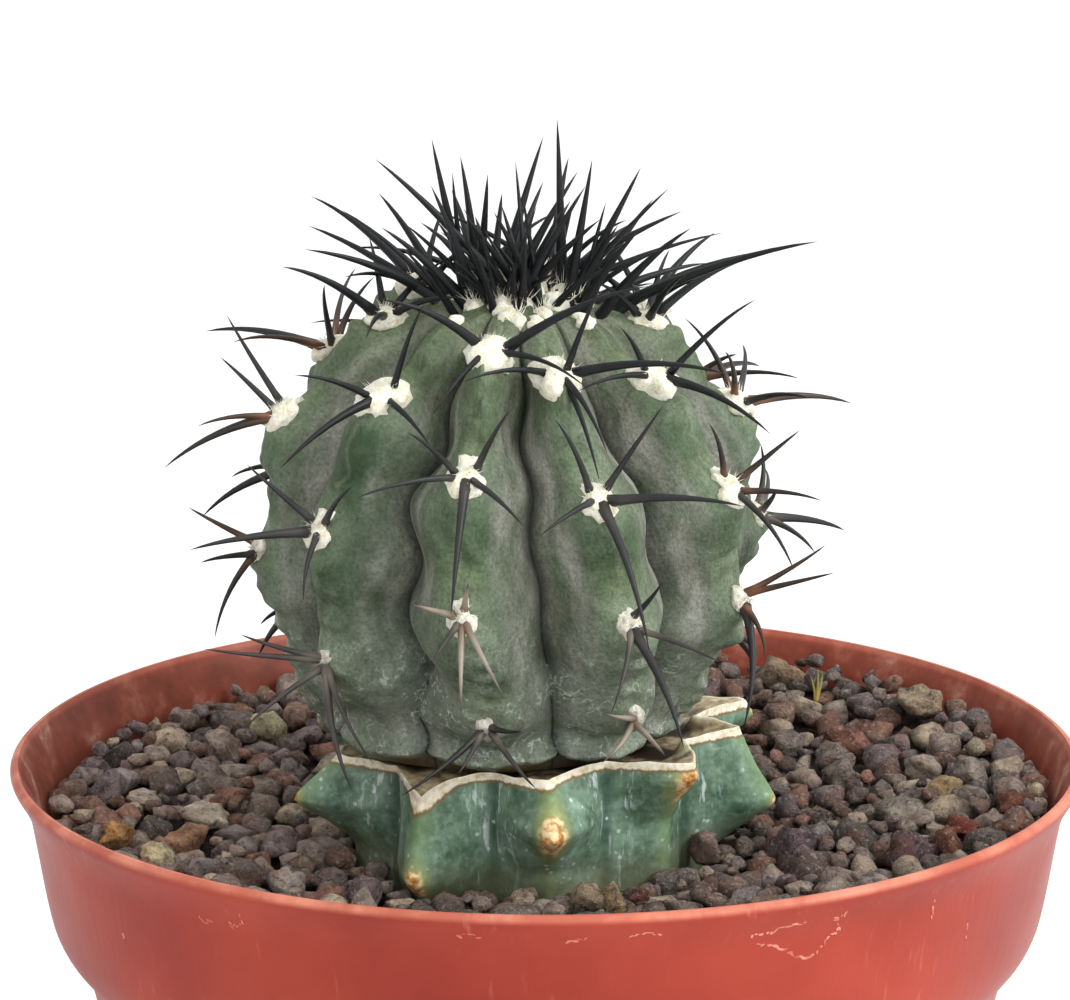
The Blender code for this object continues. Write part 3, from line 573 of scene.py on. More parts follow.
def drop(x, y, radius, laid):
    """Height at which a stone dropped at a place comes to rest on the bed or on stones already laid."""
    rest = bed_height(x, y) + radius * REST_IN_BED
    apart = np.hypot(laid[:, 0] - x, laid[:, 1] - y)
    touch = (laid[:, 3] + radius) * REST_TOGETHER
    near = apart < touch
    if near.any():
        climb = np.sqrt(touch[near] ** 2 - apart[near] ** 2) * REST_ON_TOP
        rest = max(rest, float((laid[near, 2] + climb).max()))
    return rest


def lay_stones(draws):
    """Drops stones until no more fit under the heap's level: rows of x, y, z, radius, and their looks."""
    laid = np.zeros((MOST_STONES, 4))
    looks = []
    for x, y, z, radius, flat, colour in KNOWN_STONES:
        laid[len(looks)] = (x, y, z - radius * 0.2, radius)
        looks.append((flat, colour))
    misses = 0
    while misses < MISSES_TO_END and len(looks) < MOST_STONES:
        count = len(looks)
        radius = math.exp(draws.gauss(math.log(STONE_MIDDLE), STONE_SPREAD))
        radius = min(STONE_MOST, max(STONE_LEAST, radius))
        if misses > MISSES_TO_CHIPS:
            radius = draws.uniform(*CHIP_SIZES)
        best = None
        for _ in range(PLACES_TRIED):
            angle = draws.uniform(0.0, math.tau)
            reach = math.sqrt(draws.uniform(HEAP_INNER ** 2, HEAP_OUTER ** 2))
            x = reach * math.sin(angle)
            y = -reach * math.cos(angle)
            if reach > float(pot_inner_radius(76.0)) - radius * KEEP_OFF_WALL:
                continue
            z = drop(x, y, radius, laid[:count])
            swell = noise.noise(Vector((x, y, 3.0)) * SWELL_PITCH) * SWELL_HEIGHT
            room = heap_level(x, y) + swell - z - radius * STONE_TOP
            if (best is None or room > most_room) and clear_of_stock(x, y, z, radius):
                best = (x, y, z, radius)
                most_room = room
        if best is None or most_room < 0.0:
            misses += 1
            continue
        misses = 0 if misses <= MISSES_TO_CHIPS else misses
        laid[count] = best
        looks.append((draws.uniform(0.62, 0.95), draws.choice(STONE_TONES)))
    return laid[:len(looks)], looks


def darkened(material, under, over):
    """A colour multiplied by another."""
    return add_node(material, "ShaderNodeMix", {0: 1.0}, {6: under, 7: over}, data_type="RGBA",
                    blend_type="MULTIPLY")


stone_draws = random.Random(5)
masters = [stone_master(seed, 2) for seed in range(1, 21)]
big_masters = [stone_master(seed, 3) for seed in range(31, 36)]
laid, looks = lay_stones(stone_draws)
heaps = [[], [], []]
shades = [[], [], []]
for index, ((x, y, z, radius), (flat, colour)) in enumerate(zip(laid, looks)):
    known = index < len(KNOWN_STONES)
    points, faces = big_masters[index % len(big_masters)] if known else stone_draws.choice(masters)
    turn = Matrix.Rotation(stone_draws.uniform(0.0, math.tau), 3, "Z")
    turn = turn @ Matrix.Rotation(stone_draws.uniform(-0.35, 0.35), 3, "X")
    if not known:
        turn = turn @ Matrix.Rotation(stone_draws.uniform(0.0, math.tau), 3, "Z")
    size = radius * np.array((stone_draws.uniform(1.02, 1.22), stone_draws.uniform(0.88, 1.02), flat))
    placed = (points * size) @ np.array(turn).T + np.array((x, y, z))
    wall = pot_inner_radius(placed[:, 2]) - WALL_GAP
    reach = np.hypot(placed[:, 0], placed[:, 1])
    placed[:, :2] *= np.minimum(1.0, wall / reach)[:, None]
    heap = index % 3
    heaps[heap].append((placed, faces))
    # Painted light: the stones at the left are painted paler than the rest.
    left_painted_light = LEFT_PAINTED_LIGHT - (LEFT_PAINTED_LIGHT - 1.0) * float(smooth_step(x, -45.0, -15.0))
    shade = np.array(linear(colour)) * stone_draws.uniform(1.00, 1.50) * left_painted_light
    shades[heap].append(np.tile(np.append(shade[:3], 1.0), (len(placed), 1)))

# Vesicular scoria, crushed and rumbled: matt and dusty, full of sub-millimetre pits painted near black as
# painted shade, with pale mineral bloom on the high spots and rust where iron has weathered.
stones = []
scoria = None
for index, (heap, heap_shades) in enumerate(zip(heaps, shades)):
    piece = copies_in_one(f"lava_stones_{index + 1}", heap)
    paint_points(piece, "stone_tone", np.concatenate(heap_shades))
    stones.append(piece)
    if scoria:
        piece.data.materials.append(scoria)
    else:
        scoria, shader, place = new_material(piece, "vesicular_scoria", 0.9, 1.5)
        own = stored(scoria, "stone_tone", "Color")
        mottle = speckle(scoria, place, 0.0026, 6.0, 0.62)
        shift = tones(scoria, mottle, (0.30, "#8C8682"), (0.48, "#D2CCC8"), (0.66, "#FFFAF2"))
        skin = darkened(scoria, own, shift)
        rust = speckle(scoria, place, 0.006, 3.0)
        skin = laid_over(scoria, skin, ranged(scoria, rust, 0.55, 0.70, 0.50), "#8E5640")
        # Painted shade: the pits are painted dark.
        pits = speckle(scoria, place, 0.0013, 5.0, 0.75)
        skin = laid_over(scoria, skin, eased(scoria, pits, 0.43, 0.33, 0.60), "#241C1A")
        bloom = speckle(scoria, place, 0.0007, 3.0)
        skin = laid_over(scoria, skin, ranged(scoria, bloom, 0.56, 0.72, 0.60), "#C8BEB2")
        wire(scoria, skin, shader, "Base Color")
        rough = relief(scoria, mottle, 1.0, 0.0014)
        holes = relief(scoria, pits, 0.9, 0.0009, rough)
        wire(scoria, holes, shader, "Normal")
    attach(piece, "root")
    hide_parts("grit")

# Rootstock: the short living stump of a nine-ribbed columnar cactus, cut off short. Each rib ends in a
# blunt knob; the cut's skin has dried to a cream rim and the flesh inside it has sunk.
SCION_BASE = np.array((-7.3, -0.5, 89.0))
STOCK_BOTTOM = 58.0
STOCK_CUT = 88.7
STOCK_SEAT_RADIUS = 22.4
RIM_CLEAR_RADIUS = 26.6
RIM_SLOPE = 0.9
# How big each rib's corky knob is.
CORK_SIZES = np.array((0.5, 0.36, 0.72, 0.95, 1.05, 0.38, 0.45, 0.9, 0.8))
STOCK_ROUNDS = 44 * len(STOCK_RIBS)
STOCK_SIDE_ROWS = 84
STOCK_TOP_ROWS = 12


def round_grid(name, rounds, rows):
    """A ball of rounds by rows, with each vertex's share of the turn (from the front) and of the climb."""
    deselect()
    bpy.ops.mesh.primitive_uv_sphere_add(segments=rounds, ring_count=rows, radius=1.0)
    piece = bpy.context.object
    piece.name = name
    piece.data.name = name
    ball = points_of(piece) * MM
    turn = (np.arctan2(ball[:, 0], -ball[:, 1]) / math.tau) % 1.0
    row = np.round(np.arccos(np.clip(-ball[:, 2], -1.0, 1.0)) / math.pi * rows).astype(int)
    return piece, turn, row


def around(radius, angle, height):
    """Points at a radius and an angle from the front, one row each."""
    return np.stack((radius * np.sin(angle), -radius * np.cos(angle), height), 1)


def noise_at(points, size, seed=0.0):
    """Smooth noise of features about as wide as size, in millimetres, at each point."""
    return np.array([noise.noise(Vector((x / size + seed, y / size, z / size))) for x, y, z in points])


stock, turn, row = round_grid("rootstock_stump", STOCK_ROUNDS, STOCK_SIDE_ROWS + STOCK_TOP_ROWS)
rib_place = turn * len(STOCK_RIBS)
left_rib = np.floor(rib_place).astype(int)
share = rib_place - left_rib
low = STOCK_RIBS[left_rib % len(STOCK_RIBS)]
high = STOCK_RIBS[(left_rib + 1) % len(STOCK_RIBS)]
angle = np.radians(low[:, 0] + ((high[:, 0] - low[:, 0]) % 360.0) * share)
away = np.abs(rib_place - np.round(rib_place)) * 2.0
own_cut = np.where(share < 0.5, low[:, 4], high[:, 4])
valley_cut = np.maximum(low[:, 4], high[:, 4])
cut = valley_cut + (own_cut - valley_cut) * (1.0 - away) ** 4.0
side_level = np.clip(row / STOCK_SIDE_ROWS, 0.0, 1.0)
side_level = 1.0 - (1.0 - side_level) ** 1.5
height = STOCK_BOTTOM + (cut - STOCK_BOTTOM) * side_level
radius = stock_radius(rib_place, height) - 5.0 * np.maximum(0.0, 0.25 - side_level)
inward = np.clip((row - STOCK_SIDE_ROWS) / (STOCK_TOP_ROWS - 1), 0.0, 1.0)
lump = noise_at(around(radius, angle, height), 5.0) * 0.35
lump += noise_at(around(radius, angle, height), 1.7, 9.0) * 0.10
radius = radius + lump * (inward <= 0.0)
rim_lip = np.exp(-((cut - height) / 0.9) ** 2) * 0.25 * (inward <= 0.0)
radius = radius + rim_lip
height = height - 0.5 * inward ** 0.5 * (inward > 0.0)
radius = radius + (STOCK_SEAT_RADIUS - radius) * inward ** 1.3
height = height + (STOCK_CUT - 0.4 - height) * np.clip((inward - 0.25) / 0.75, 0.0, 1.0)
wavy = noise_at(around(radius, angle, height), 3.0, 4.0)
height = height + wavy * 0.35 * (side_level > 0.93) * (inward < 0.4)
radius[row == 0] = 0.0
radius[row == STOCK_SIDE_ROWS + STOCK_TOP_ROWS] = 0.0
height[row == STOCK_SIDE_ROWS + STOCK_TOP_ROWS] = STOCK_CUT - 0.2
stock_points = around(radius, angle, height) + STOCK_AXIS
from_scion = np.hypot(stock_points[:, 0] - SCION_BASE[0], stock_points[:, 1] - SCION_BASE[1])
ceiling = STOCK_CUT + np.maximum(0.0, from_scion - RIM_CLEAR_RADIUS) * RIM_SLOPE
stock_points[:, 2] = np.minimum(stock_points[:, 2], ceiling)
move_points(stock, stock_points)
choose(stock)
bpy.ops.object.shade_smooth()
nearest = np.round(rib_place).astype(int) % len(STOCK_RIBS)
cork_size = CORK_SIZES[nearest]
# How far each spot lies from its rib's knob, by the size of that knob.
tip_gap = np.hypot((height - STOCK_RIBS[nearest, 2]) * 0.7, away * 13.0) / cork_size
paint_points(stock, "crest", 1.0 - away)
paint_points(stock, "tip", np.exp(-(tip_gap / 3.4) ** 2) * (inward <= 0.0))
# The dried rim is broader on the front left rib, where the cut's skin curls over.
curl = 1.0 - 0.55 * (nearest == 2) * np.exp(-((away - 0.12) / 0.28) ** 2)
paint_points(stock, "below_rim", np.where(inward > 0.0, 0.0, (cut - height) * curl))
paint_points(stock, "cut_face", inward)

# Waxy cactus skin: a blue-green epidermis under a chalky bloom, with white scar streaks in the valleys and
# lime specks, corky ochre knobs, and a dried cream rim with a brown lower edge. Painted shade darkens the
# valleys, the skin low down under the knobs, and the cut's face under the scion.
waxy, shader, place = new_material(stock, "waxy_rootstock_skin", 0.42, 1.42)
crest = stored(waxy, "crest")
tip = stored(waxy, "tip")
below_rim = stored(waxy, "below_rim")
cut_face = stored(waxy, "cut_face")
height = add_node(waxy, "ShaderNodeSeparateXYZ", links={0: place}).outputs["Z"]
cloud = speckle(waxy, place, 0.007, 7.0, 0.68)
green = tones(waxy, cloud, (0.34, "#3C5642"), (0.46, "#58735C"), (0.57, "#738E78"), (0.70, "#98B2A5"))
fine = speckle(waxy, place, 0.0011, 3.0)
green = laid_over(waxy, green, ranged(waxy, fine, 0.45, 0.75, 0.35), "#9DBDAF")
# Painted shade: darker green in the valleys between the ribs.
valley = eased(waxy, crest, 0.20, 0.0, 0.7)
green = laid_over(waxy, green, valley, "#2E4A3C")
ridge = eased(waxy, crest, 0.72, 1.0, 0.55)
green = laid_over(waxy, green, ridge, "#7F9C66")
upright = add_node(waxy, "ShaderNodeMapping", {"Scale": (1.0, 1.0, 0.16)}, {"Vector": place})
streak = speckle(waxy, upright, 0.0013, 5.0, 0.65)
streak_mask = eased(waxy, streak, 0.54, 0.64, 0.80)
beside = eased(waxy, crest, 0.04, 0.14)
beside_end = eased(waxy, crest, 0.58, 0.26)
band = both(waxy, beside, beside_end)
scar = both(waxy, band, streak_mask)
green = laid_over(waxy, green, scar, "#C9D8D6")
speck = add_node(waxy, "ShaderNodeTexVoronoi", {"Scale": 1 / 0.0017}, {"Vector": place})
speck_size = ranged(waxy, speck, 0.24, 0.15)
speck_where = ranged(waxy, cloud, 0.50, 0.58)
green = laid_over(waxy, green, both(waxy, speck_size, speck_where), "#C9D8CF")
# Painted shade: darker and browner low down, under the knobs and by the stones.
green = laid_over(waxy, green, eased(waxy, height, 0.0795, 0.0725, 0.7), "#5B5A40")
halo = eased(waxy, tip, 0.08, 0.75, 0.75)
green = laid_over(waxy, green, halo, "#A3A868")
cork_edge = add_node(waxy, "ShaderNodeMath", {1: 0.6}, {0: fine}, operation="MULTIPLY")
cork_place = add_node(waxy, "ShaderNodeMath", links={0: tip, 1: cork_edge}, operation="ADD")
cork_mask = eased(waxy, cork_place, 0.82, 1.10)
cork = tones(waxy, fine, (0.36, "#9C632E"), (0.46, "#D39A58"), (0.58, "#F0D6A6"))
green = laid_over(waxy, green, cork_mask, cork)
rim_wave = add_node(waxy, "ShaderNodeMath", {1: 1.1, 2: -0.55}, {0: streak}, operation="MULTIPLY_ADD")
rim_place = add_node(waxy, "ShaderNodeMath", links={0: below_rim, 1: rim_wave}, operation="ADD")
green = laid_over(waxy, green, eased(waxy, rim_place, 1.75, 1.20), "#7A6138")
rim_cream = eased(waxy, rim_place, 1.30, 0.95)
dry = tones(waxy, fine, (0.30, "#CFC29A"), (0.48, "#ECE3C8"), (0.66, "#FAF6E8"))
green = laid_over(waxy, green, rim_cream, dry)
# Painted shade: the cut's face darkens from cream at the rim to dark brown under the scion, with dried husk
# on the crests.
cut_and_gap_shade = tones(waxy, cut_face, (0.02, "#E2D8B8"), (0.34, "#CDBE97"), (0.50, "#8A7455"), (0.80, "#3A2C22"))
fold = speckle(waxy, place, 0.0018, 4.0)
husk = tones(waxy, fold, (0.36, "#5E4C38"), (0.48, "#A08C6C"), (0.64, "#C9BC9C"))
cut_and_gap_shade = laid_over(waxy, cut_and_gap_shade, eased(waxy, crest, 0.30, 0.60, 0.85), husk)
green = laid_over(waxy, green, ranged(waxy, cut_face, 0.0, 0.08), cut_and_gap_shade)
wire(waxy, green, shader, "Base Color")
dull = ranged(waxy, cloud, 0.0, 1.0, 0.62, 0.34)
wire(waxy, dull, shader, "Roughness")
soft = relief(waxy, streak, 0.25, 0.0006)
grain = relief(waxy, fine, 0.25, 0.0003, soft)
wire(waxy, grain, shader, "Normal")
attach(stock, "root")
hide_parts("rootstock")

# Scion: a ten-ribbed copiapoa of about 75 mm, grown fat and a little askew on its stock. The ribs are blunt
# and chinned below each areole, and the furrows close to a crease as they near the woolly crown.
SCION_RIBS = 10
SCION_RADIUS = 36.8
SCION_WAIST = 33.3
SCION_LOW_REACH = 38.4
SCION_HIGH_REACH = 35.3
LOW_FULLNESS = 0.80
HIGH_FULLNESS = 0.91
FURROW_DEPTH = 8.6
FURROW_POWER = 1.45
CREST_BLUNTNESS = 0.16
FURROW_SWAY = 1.7
CHIN = 1.6
SEAT_FLARE = 2.6
FLARE_LEVEL = 1.8
FLARE_HEIGHT = 3.0
FRONT_SKIRT = 3.0
LEAN_RIGHT = 0.056
LEAN_FRONT = 0.152
LEAN_START = 18.0
FRONT_RIB_TURN = -8.4
TWIST_PER_MM = -0.255
TWIST_MIDDLE = 30.0
# Degrees by which each rib strays to the right: high up, half way and low down.
RIB_WANDER = np.array(((3.5, -1.0, 1.0), (-5.0, 0.5, 4.5), (-2.0, 4.0, 1.0), (2.0, -1.0, -1.0),
                       (-2.0, 1.0, 2.0), (3.0, 0.0, -2.0), (-2.0, 2.0, 1.0), (1.0, -2.0, 0.0),
                       (3.0, 2.0, -2.0), (8.0, -1.0, -5.0)))
# Each rib's first areole, as a distance from the crown, and the spacing of the next ones.
AREOLES = np.array(((17.8, 20.0), (21.8, 18.7), (25.2, 18.6), (18.4, 19.2), (23.0, 19.4), (17.0, 19.6),
                    (22.4, 19.0), (18.0, 20.0), (20.2, 20.6), (29.8, 20.6)))
LAST_AREOLE = 81.0
SEAT_CLIMB = math.acos(SCION_WAIST / SCION_LOW_REACH)
# How much closer the mesh's lines stand in the furrows than on the crests.
FURROW_CROWDING = 0.42
BODY_ROUNDS = 400
BODY_ROWS = 214


def meridian(climb):
    """Radius and height of the scion's crest line: climb runs from the seat to pi at the crown."""
    climb = np.asarray(climb, float)
    sine = np.maximum(0.0, np.sin(climb))
    low = climb < math.pi / 2.0
    rise = np.where(low, -SCION_LOW_REACH * np.cos(climb),
                    SCION_HIGH_REACH * np.abs(np.cos(climb)) ** HIGH_FULLNESS)
    flare = np.where(low, SEAT_FLARE * np.exp(-((SCION_WAIST + rise - FLARE_LEVEL) / FLARE_HEIGHT) ** 2), 0.0)
    reach = SCION_RADIUS * np.where(low, sine ** LOW_FULLNESS, sine ** HIGH_FULLNESS)
    return reach + flare, SCION_WAIST + rise


CREST_CLIMB = np.linspace(math.pi, SEAT_CLIMB, 401)
crest_radius, crest_height = meridian(CREST_CLIMB)
CREST_LENGTH = np.concatenate(([0.0], np.cumsum(np.hypot(np.diff(crest_radius), np.diff(crest_height)))))


def climb_at(length):
    return np.interp(length, CREST_LENGTH, CREST_CLIMB)


def length_at(climb):
    return np.interp(-np.asarray(climb, float), -CREST_CLIMB, CREST_LENGTH)


def wander(rib, height):
    """Degrees by which a rib strays sideways at a height."""
    high, middle, low = RIB_WANDER[rib % SCION_RIBS].T
    from_low = low + (middle - low) * smooth_step(height, 12.0, 38.0)
    return from_low + (high - middle) * smooth_step(height, 38.0, 62.0)


def areole_beat(rib, climb):
    """How far a rib swells below each of its areoles, from -1 to 1."""
    first, spacing = np.moveaxis(AREOLES[rib % SCION_RIBS], -1, 0)
    return np.cos(math.tau * (length_at(climb) - first) / spacing - 1.3)


def scion_point(rib_place, climb, lift=0.0):
    """Points on the scion in millimetres: rib_place counts ribs from the front one to the right."""
    rib_place, climb, lift = np.broadcast_arrays(np.asarray(rib_place, float), np.asarray(climb, float),
                                                 np.asarray(lift, float))
    radius, height = meridian(climb)
    facing = np.cos(rib_place * math.tau / SCION_RIBS + math.radians(FRONT_RIB_TURN))
    skirt = FRONT_SKIRT * np.maximum(0.0, facing) * np.exp(-((height - FLARE_LEVEL) / FLARE_HEIGHT) ** 2)
    radius = radius + np.where(climb < math.pi / 2.0, skirt, 0.0)
    low_radius, low_height = meridian(np.maximum(SEAT_CLIMB * 0.5, climb - 0.002))
    high_radius, high_height = meridian(np.minimum(math.pi, climb + 0.002))
    step = np.hypot(high_radius - low_radius, high_height - low_height)
    slope_out = (high_radius - low_radius) / step
    slope_up = (high_height - low_height) / step
    nearest = np.round(rib_place).astype(int)
    away = np.abs(rib_place - nearest) * 2.0
    widest = math.hypot(1.0, CREST_BLUNTNESS) - CREST_BLUNTNESS
    blunt = (np.hypot(away, CREST_BLUNTNESS) - CREST_BLUNTNESS) / widest
    depth = np.where(climb < math.pi / 2.0, FURROW_DEPTH * (0.25 + 0.75 * smooth_step(height, 0.0, 22.0)),
                     FURROW_DEPTH * smooth_step(radius / SCION_RADIUS, 0.15, 0.70))
    fade = smooth_step(height, 1.0, 9.0) * smooth_step(radius, 8.0, 20.0)
    out = lift - depth * blunt ** FURROW_POWER + CHIN * areole_beat(nearest, climb) * fade * (1.0 - away) ** 2
    radius = radius + out * slope_up
    height = height - out * slope_out
    left_rib = np.floor(rib_place).astype(int)
    share = rib_place - left_rib
    stray = wander(left_rib, height) * (1.0 - share) + wander(left_rib + 1, height) * share
    push = (areole_beat(left_rib, climb) - areole_beat(left_rib + 1, climb)) * fade
    stray = stray + FURROW_SWAY * push * np.sin(math.pi * share) ** 2
    twist = TWIST_PER_MM * (height - TWIST_MIDDLE)
    turn = np.radians(rib_place * 360.0 / SCION_RIBS + stray + FRONT_RIB_TURN + twist)
    bend = smooth_step(height, 0.0, LEAN_START)
    x = radius * np.sin(turn)
    y = -radius * np.cos(turn)
    cos_r, sin_r = np.cos(LEAN_RIGHT * bend), np.sin(LEAN_RIGHT * bend)
    x, z = x * cos_r + height * sin_r, height * cos_r - x * sin_r
    cos_f, sin_f = np.cos(LEAN_FRONT * bend), np.sin(LEAN_FRONT * bend)
    y, z = y * cos_f - z * sin_f, y * sin_f + z * cos_f
    return np.stack((x, y, z), -1) + SCION_BASE


body, turn, row = round_grid("scion_body", BODY_ROUNDS, BODY_ROWS)
rib_place = turn * SCION_RIBS
share = rib_place - np.floor(rib_place)
rib_place = np.floor(rib_place) + share + FURROW_CROWDING * np.sin(math.tau * share) / math.tau
row_share = np.clip((row - 1) / (BODY_ROWS - 1), 0.0, 1.0)
climb = SEAT_CLIMB + (math.pi - SEAT_CLIMB) * row_share
plain = scion_point(rib_place, climb)
away = np.abs(rib_place - np.round(rib_place)) * 2.0
length = length_at(climb)
first, spacing = AREOLES[np.round(rib_place).astype(int) % SCION_RIBS].T
number = np.round((length - first) / spacing)
areole_gap = np.abs(length - first - number * spacing)
areole_gap = np.where(number < 0, 99.0, areole_gap)
# The skin's relief: wide and fine lumps, scabs low down, a crease in each furrow, nicks along the crests.
wide_lump = noise_at(plain, 9.0) * 0.70 + noise_at(plain, 4.0, 7.0) * 0.40
fine_lump = noise_at(plain * (1.0, 1.0, 0.7), 1.6, 3.0) * 0.16
low_skin = smooth_step(plain[:, 2] - SCION_BASE[2], 20.0, 5.0)
scab = np.maximum(0.0, noise_at(plain, 2.6, 5.0)) * 0.55 * low_skin
crease = np.exp(-((away - 1.0) / 0.05) ** 2) * -0.5
nick = noise_at(np.stack((length, np.round(rib_place) * 40.0, length * 0.0), 1), 2.6, 11.0)
nick = nick * np.exp(-(away / 0.24) ** 2) * 1.5
fade = smooth_step(CREST_LENGTH[-1] - length, 0.5, 4.0) * smooth_step(length, 2.0, 10.0)
lift = (wide_lump + fine_lump + scab + crease + nick) * fade
body_points = scion_point(rib_place, climb, lift)
body_points[row == 1, 2] = SCION_BASE[2]
body_points[row == 0] = SCION_BASE
move_points(body, body_points)
choose(body)
bpy.ops.object.shade_smooth()
spread = meridian(climb)[0] * 0.6 + 14.0
flow_turn = rib_place * math.tau / SCION_RIBS
paint_points(body, "crest", 1.0 - away)
paint_points(body, "tall", np.clip((plain[:, 2] - SCION_BASE[2]) / 70.0, 0.0, 1.0))
grain = np.stack((np.sin(flow_turn) * SCION_RADIUS, np.cos(flow_turn) * SCION_RADIUS, length * 0.24), 1)
paint_points(body, "grain", grain)
paint_points(body, "pad_gap", np.hypot(areole_gap, away * spread * 0.35))
above_pad = np.mod(length - first, spacing) - spacing
paint_points(body, "glow", np.exp(-((above_pad + 5.0) / 2.6) ** 2) * np.exp(-(away / 0.34) ** 2))
# Painted shade: the left rib is painted a deeper, darker green, on the side away from the light.
left_rib = np.exp(-((rib_place - 9.1) / 0.42) ** 2)
paint_points(body, "deep", left_rib * smooth_step(plain[:, 2] - SCION_BASE[2], 8.0, 18.0))

# Epidermis of a shaded copiapoa: grey-green with a thin, finely streaked wax bloom, greyer down the flanks,
# painted shade that darkens towards each furrow down to a near-black crease and deepens the left rib's green,
# a painted highlight along the crests, and a whitish crackle near the seat.
epidermis, shader, place = new_material(body, "bloomed_copiapoa_skin", 0.55, 1.42)
crest = stored(epidermis, "crest")
tall = stored(epidermis, "tall")
pad_gap = stored(epidermis, "pad_gap")
flow = stored(epidermis, "grain", "Vector")
cloud = speckle(epidermis, place, 0.010, 7.0, 0.68)
fibre = add_node(epidermis, "ShaderNodeTexNoise", {"Scale": 2.4, "Detail": 4.0, "Roughness": 0.65},
                 {"Vector": flow})
wash = add_node(epidermis, "ShaderNodeTexNoise", {"Scale": 0.32, "Detail": 3.0}, {"Vector": flow})
green = tones(epidermis, cloud, (0.34, "#2F4329"), (0.46, "#43593C"), (0.56, "#566C4F"), (0.68, "#768671"))
grey = tones(epidermis, wash, (0.38, "#76766D"), (0.52, "#8F8F86"), (0.66, "#A8A79F"))
flank = eased(epidermis, crest, 0.74, 0.36, 0.92)
flank_noise = ranged(epidermis, wash, 0.34, 0.56, 1.0, 0.35)
skin = laid_over(epidermis, green, both(epidermis, flank, flank_noise), grey)
bloom = ranged(epidermis, fibre, 0.46, 0.76, 0.34)
skin = laid_over(epidermis, skin, bloom, "#778572")
skin = laid_over(epidermis, skin, ranged(epidermis, fibre, 0.46, 0.28, 0.35), "#39452F")
glow = stored(epidermis, "glow")
glow_mask = add_node(epidermis, "ShaderNodeMath", {1: 0.42}, {0: glow}, operation="MULTIPLY")
skin = laid_over(epidermis, skin, glow_mask, "#84946A")
# Painted shade on the left rib.
deep = stored(epidermis, "deep")
left_shade_cloud = ranged(epidermis, cloud, 0.40, 0.60, 0.30, 0.85)
skin = laid_over(epidermis, skin, both(epidermis, deep, left_shade_cloud), "#2F4A2C")
pale_low = eased(epidermis, tall, 0.46, 0.10, 0.85)
pale_patch = ranged(epidermis, cloud, 0.36, 0.58, 1.0, 0.30)
skin = laid_over(epidermis, skin, both(epidermis, pale_low, pale_patch), "#9EAA9C")
upper = ranged(epidermis, tall, 0.72, 0.95, 0.45)
skin = laid_over(epidermis, skin, upper, "#74805E")
# Painted highlight: a pale line along each crest.
edge = eased(epidermis, crest, 0.93, 0.99)
crest_highlight_mask = add_node(epidermis, "ShaderNodeMath", {1: 0.22}, {0: edge}, operation="MULTIPLY")
skin = laid_over(epidermis, skin, crest_highlight_mask, "#98A083")
# Painted shade: darker towards each furrow, then a near-black crease in it.
skin = laid_over(epidermis, skin, eased(epidermis, crest, 0.24, 0.0, 0.5), "#3A3C37")
furrow_shade = eased(epidermis, crest, 0.035, 0.008, 0.8)
skin = laid_over(epidermis, skin, furrow_shade, "#1C211B")
crackle = speckle(epidermis, place, 0.0030, 3.0, 0.6)
crackle_off = add_node(epidermis, "ShaderNodeMath", {1: 0.5}, {0: crackle}, operation="SUBTRACT")
crackle_gap = add_node(epidermis, "ShaderNodeMath", links={0: crackle_off}, operation="ABSOLUTE")
crackle_line = ranged(epidermis, crackle_gap, 0.032, 0.010, 0.88)
scab = speckle(epidermis, place, 0.005, 6.0, 0.7)
scab_where = eased(epidermis, scab, 0.49, 0.58)
scab_low = eased(epidermis, tall, 0.38, 0.12)
scab_mask = both(epidermis, scab_where, scab_low)
scab_tone = add_node(epidermis, "ShaderNodeMix", {6: linear("#849283"), 7: linear("#D6DBD2")},
                     {0: crackle_line}, data_type="RGBA")
skin = laid_over(epidermis, skin, scab_mask, scab_tone)
foot = eased(epidermis, tall, 0.035, 0.012)
skin = laid_over(epidermis, skin, foot, "#7A6446")
halo = eased(epidermis, pad_gap, 6.5, 3.0, 0.4)
skin = laid_over(epidermis, skin, halo, "#8A9880")
mote = speckle(epidermis, place, 0.00055, 3.0, 0.7)
mote_tone = tones(epidermis, mote, (0.30, "#B4B4AC"), (0.50, "#E0E0DC"), (0.72, "#FFFFFF"))
skin = darkened(epidermis, skin, mote_tone)
wire(epidermis, skin, shader, "Base Color")
dull = ranged(epidermis, fibre, 0.0, 1.0, 0.70, 0.46)
wire(epidermis, dull, shader, "Roughness")
streaks = relief(epidermis, fibre, 0.40, 0.0004)
wrinkle = relief(epidermis, scab, 0.60, 0.0009, streaks)
wire(epidermis, relief(epidermis, mote, 0.45, 0.0002, wrinkle), shader, "Normal")
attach(body, "root")
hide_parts("scion")

# Wool: each areole is a cushion of short cream felt that the spines stand in, greyer and thinner down the
# plant, and the crown is a loose heap of longer fresh wool.
WOOL_PAD = np.array((3.3, 3.6, 2.1))
PAD_SHAPE = (0.92, 1.08, 0.92)
PAD_SINK = 0.4
# How much bigger each rib's youngest areole is than the ones below it.
PAD_GROWTH = (1.22, 1.35, 1.15, 0.85, 1.1, 1.1, 1.1, 1.1, 0.85, 1.22)
# Areoles too young for spines, one to a rib close under the crown, and the crown's own cushions.
BUD_PAD = np.array((1.5, 2.0, 1.2))
BUD_SHARE = 0.45
CROWN_PAD = 2.2
CROWN_PADS = 16
GOLDEN_ANGLE = math.radians(137.5)
CROWN_WOOL_REACH = 8.5
CROWN_SINK = 0.7
CROWN_ROUNDING = 0.016
PAD_HAIRS = 44
CROWN_PAD_HAIRS = 20
# Bays that the spines press into a cushion: half width in radians, and depth as a share of its radius.
BAY_WIDTH = 0.30
BAY_DEPTHS = (0.16, 0.34)
# Tufts of a cushion: how many to its radius, and how high.
TUFTS = ((3.2, 0.20), (8.0, 0.10))


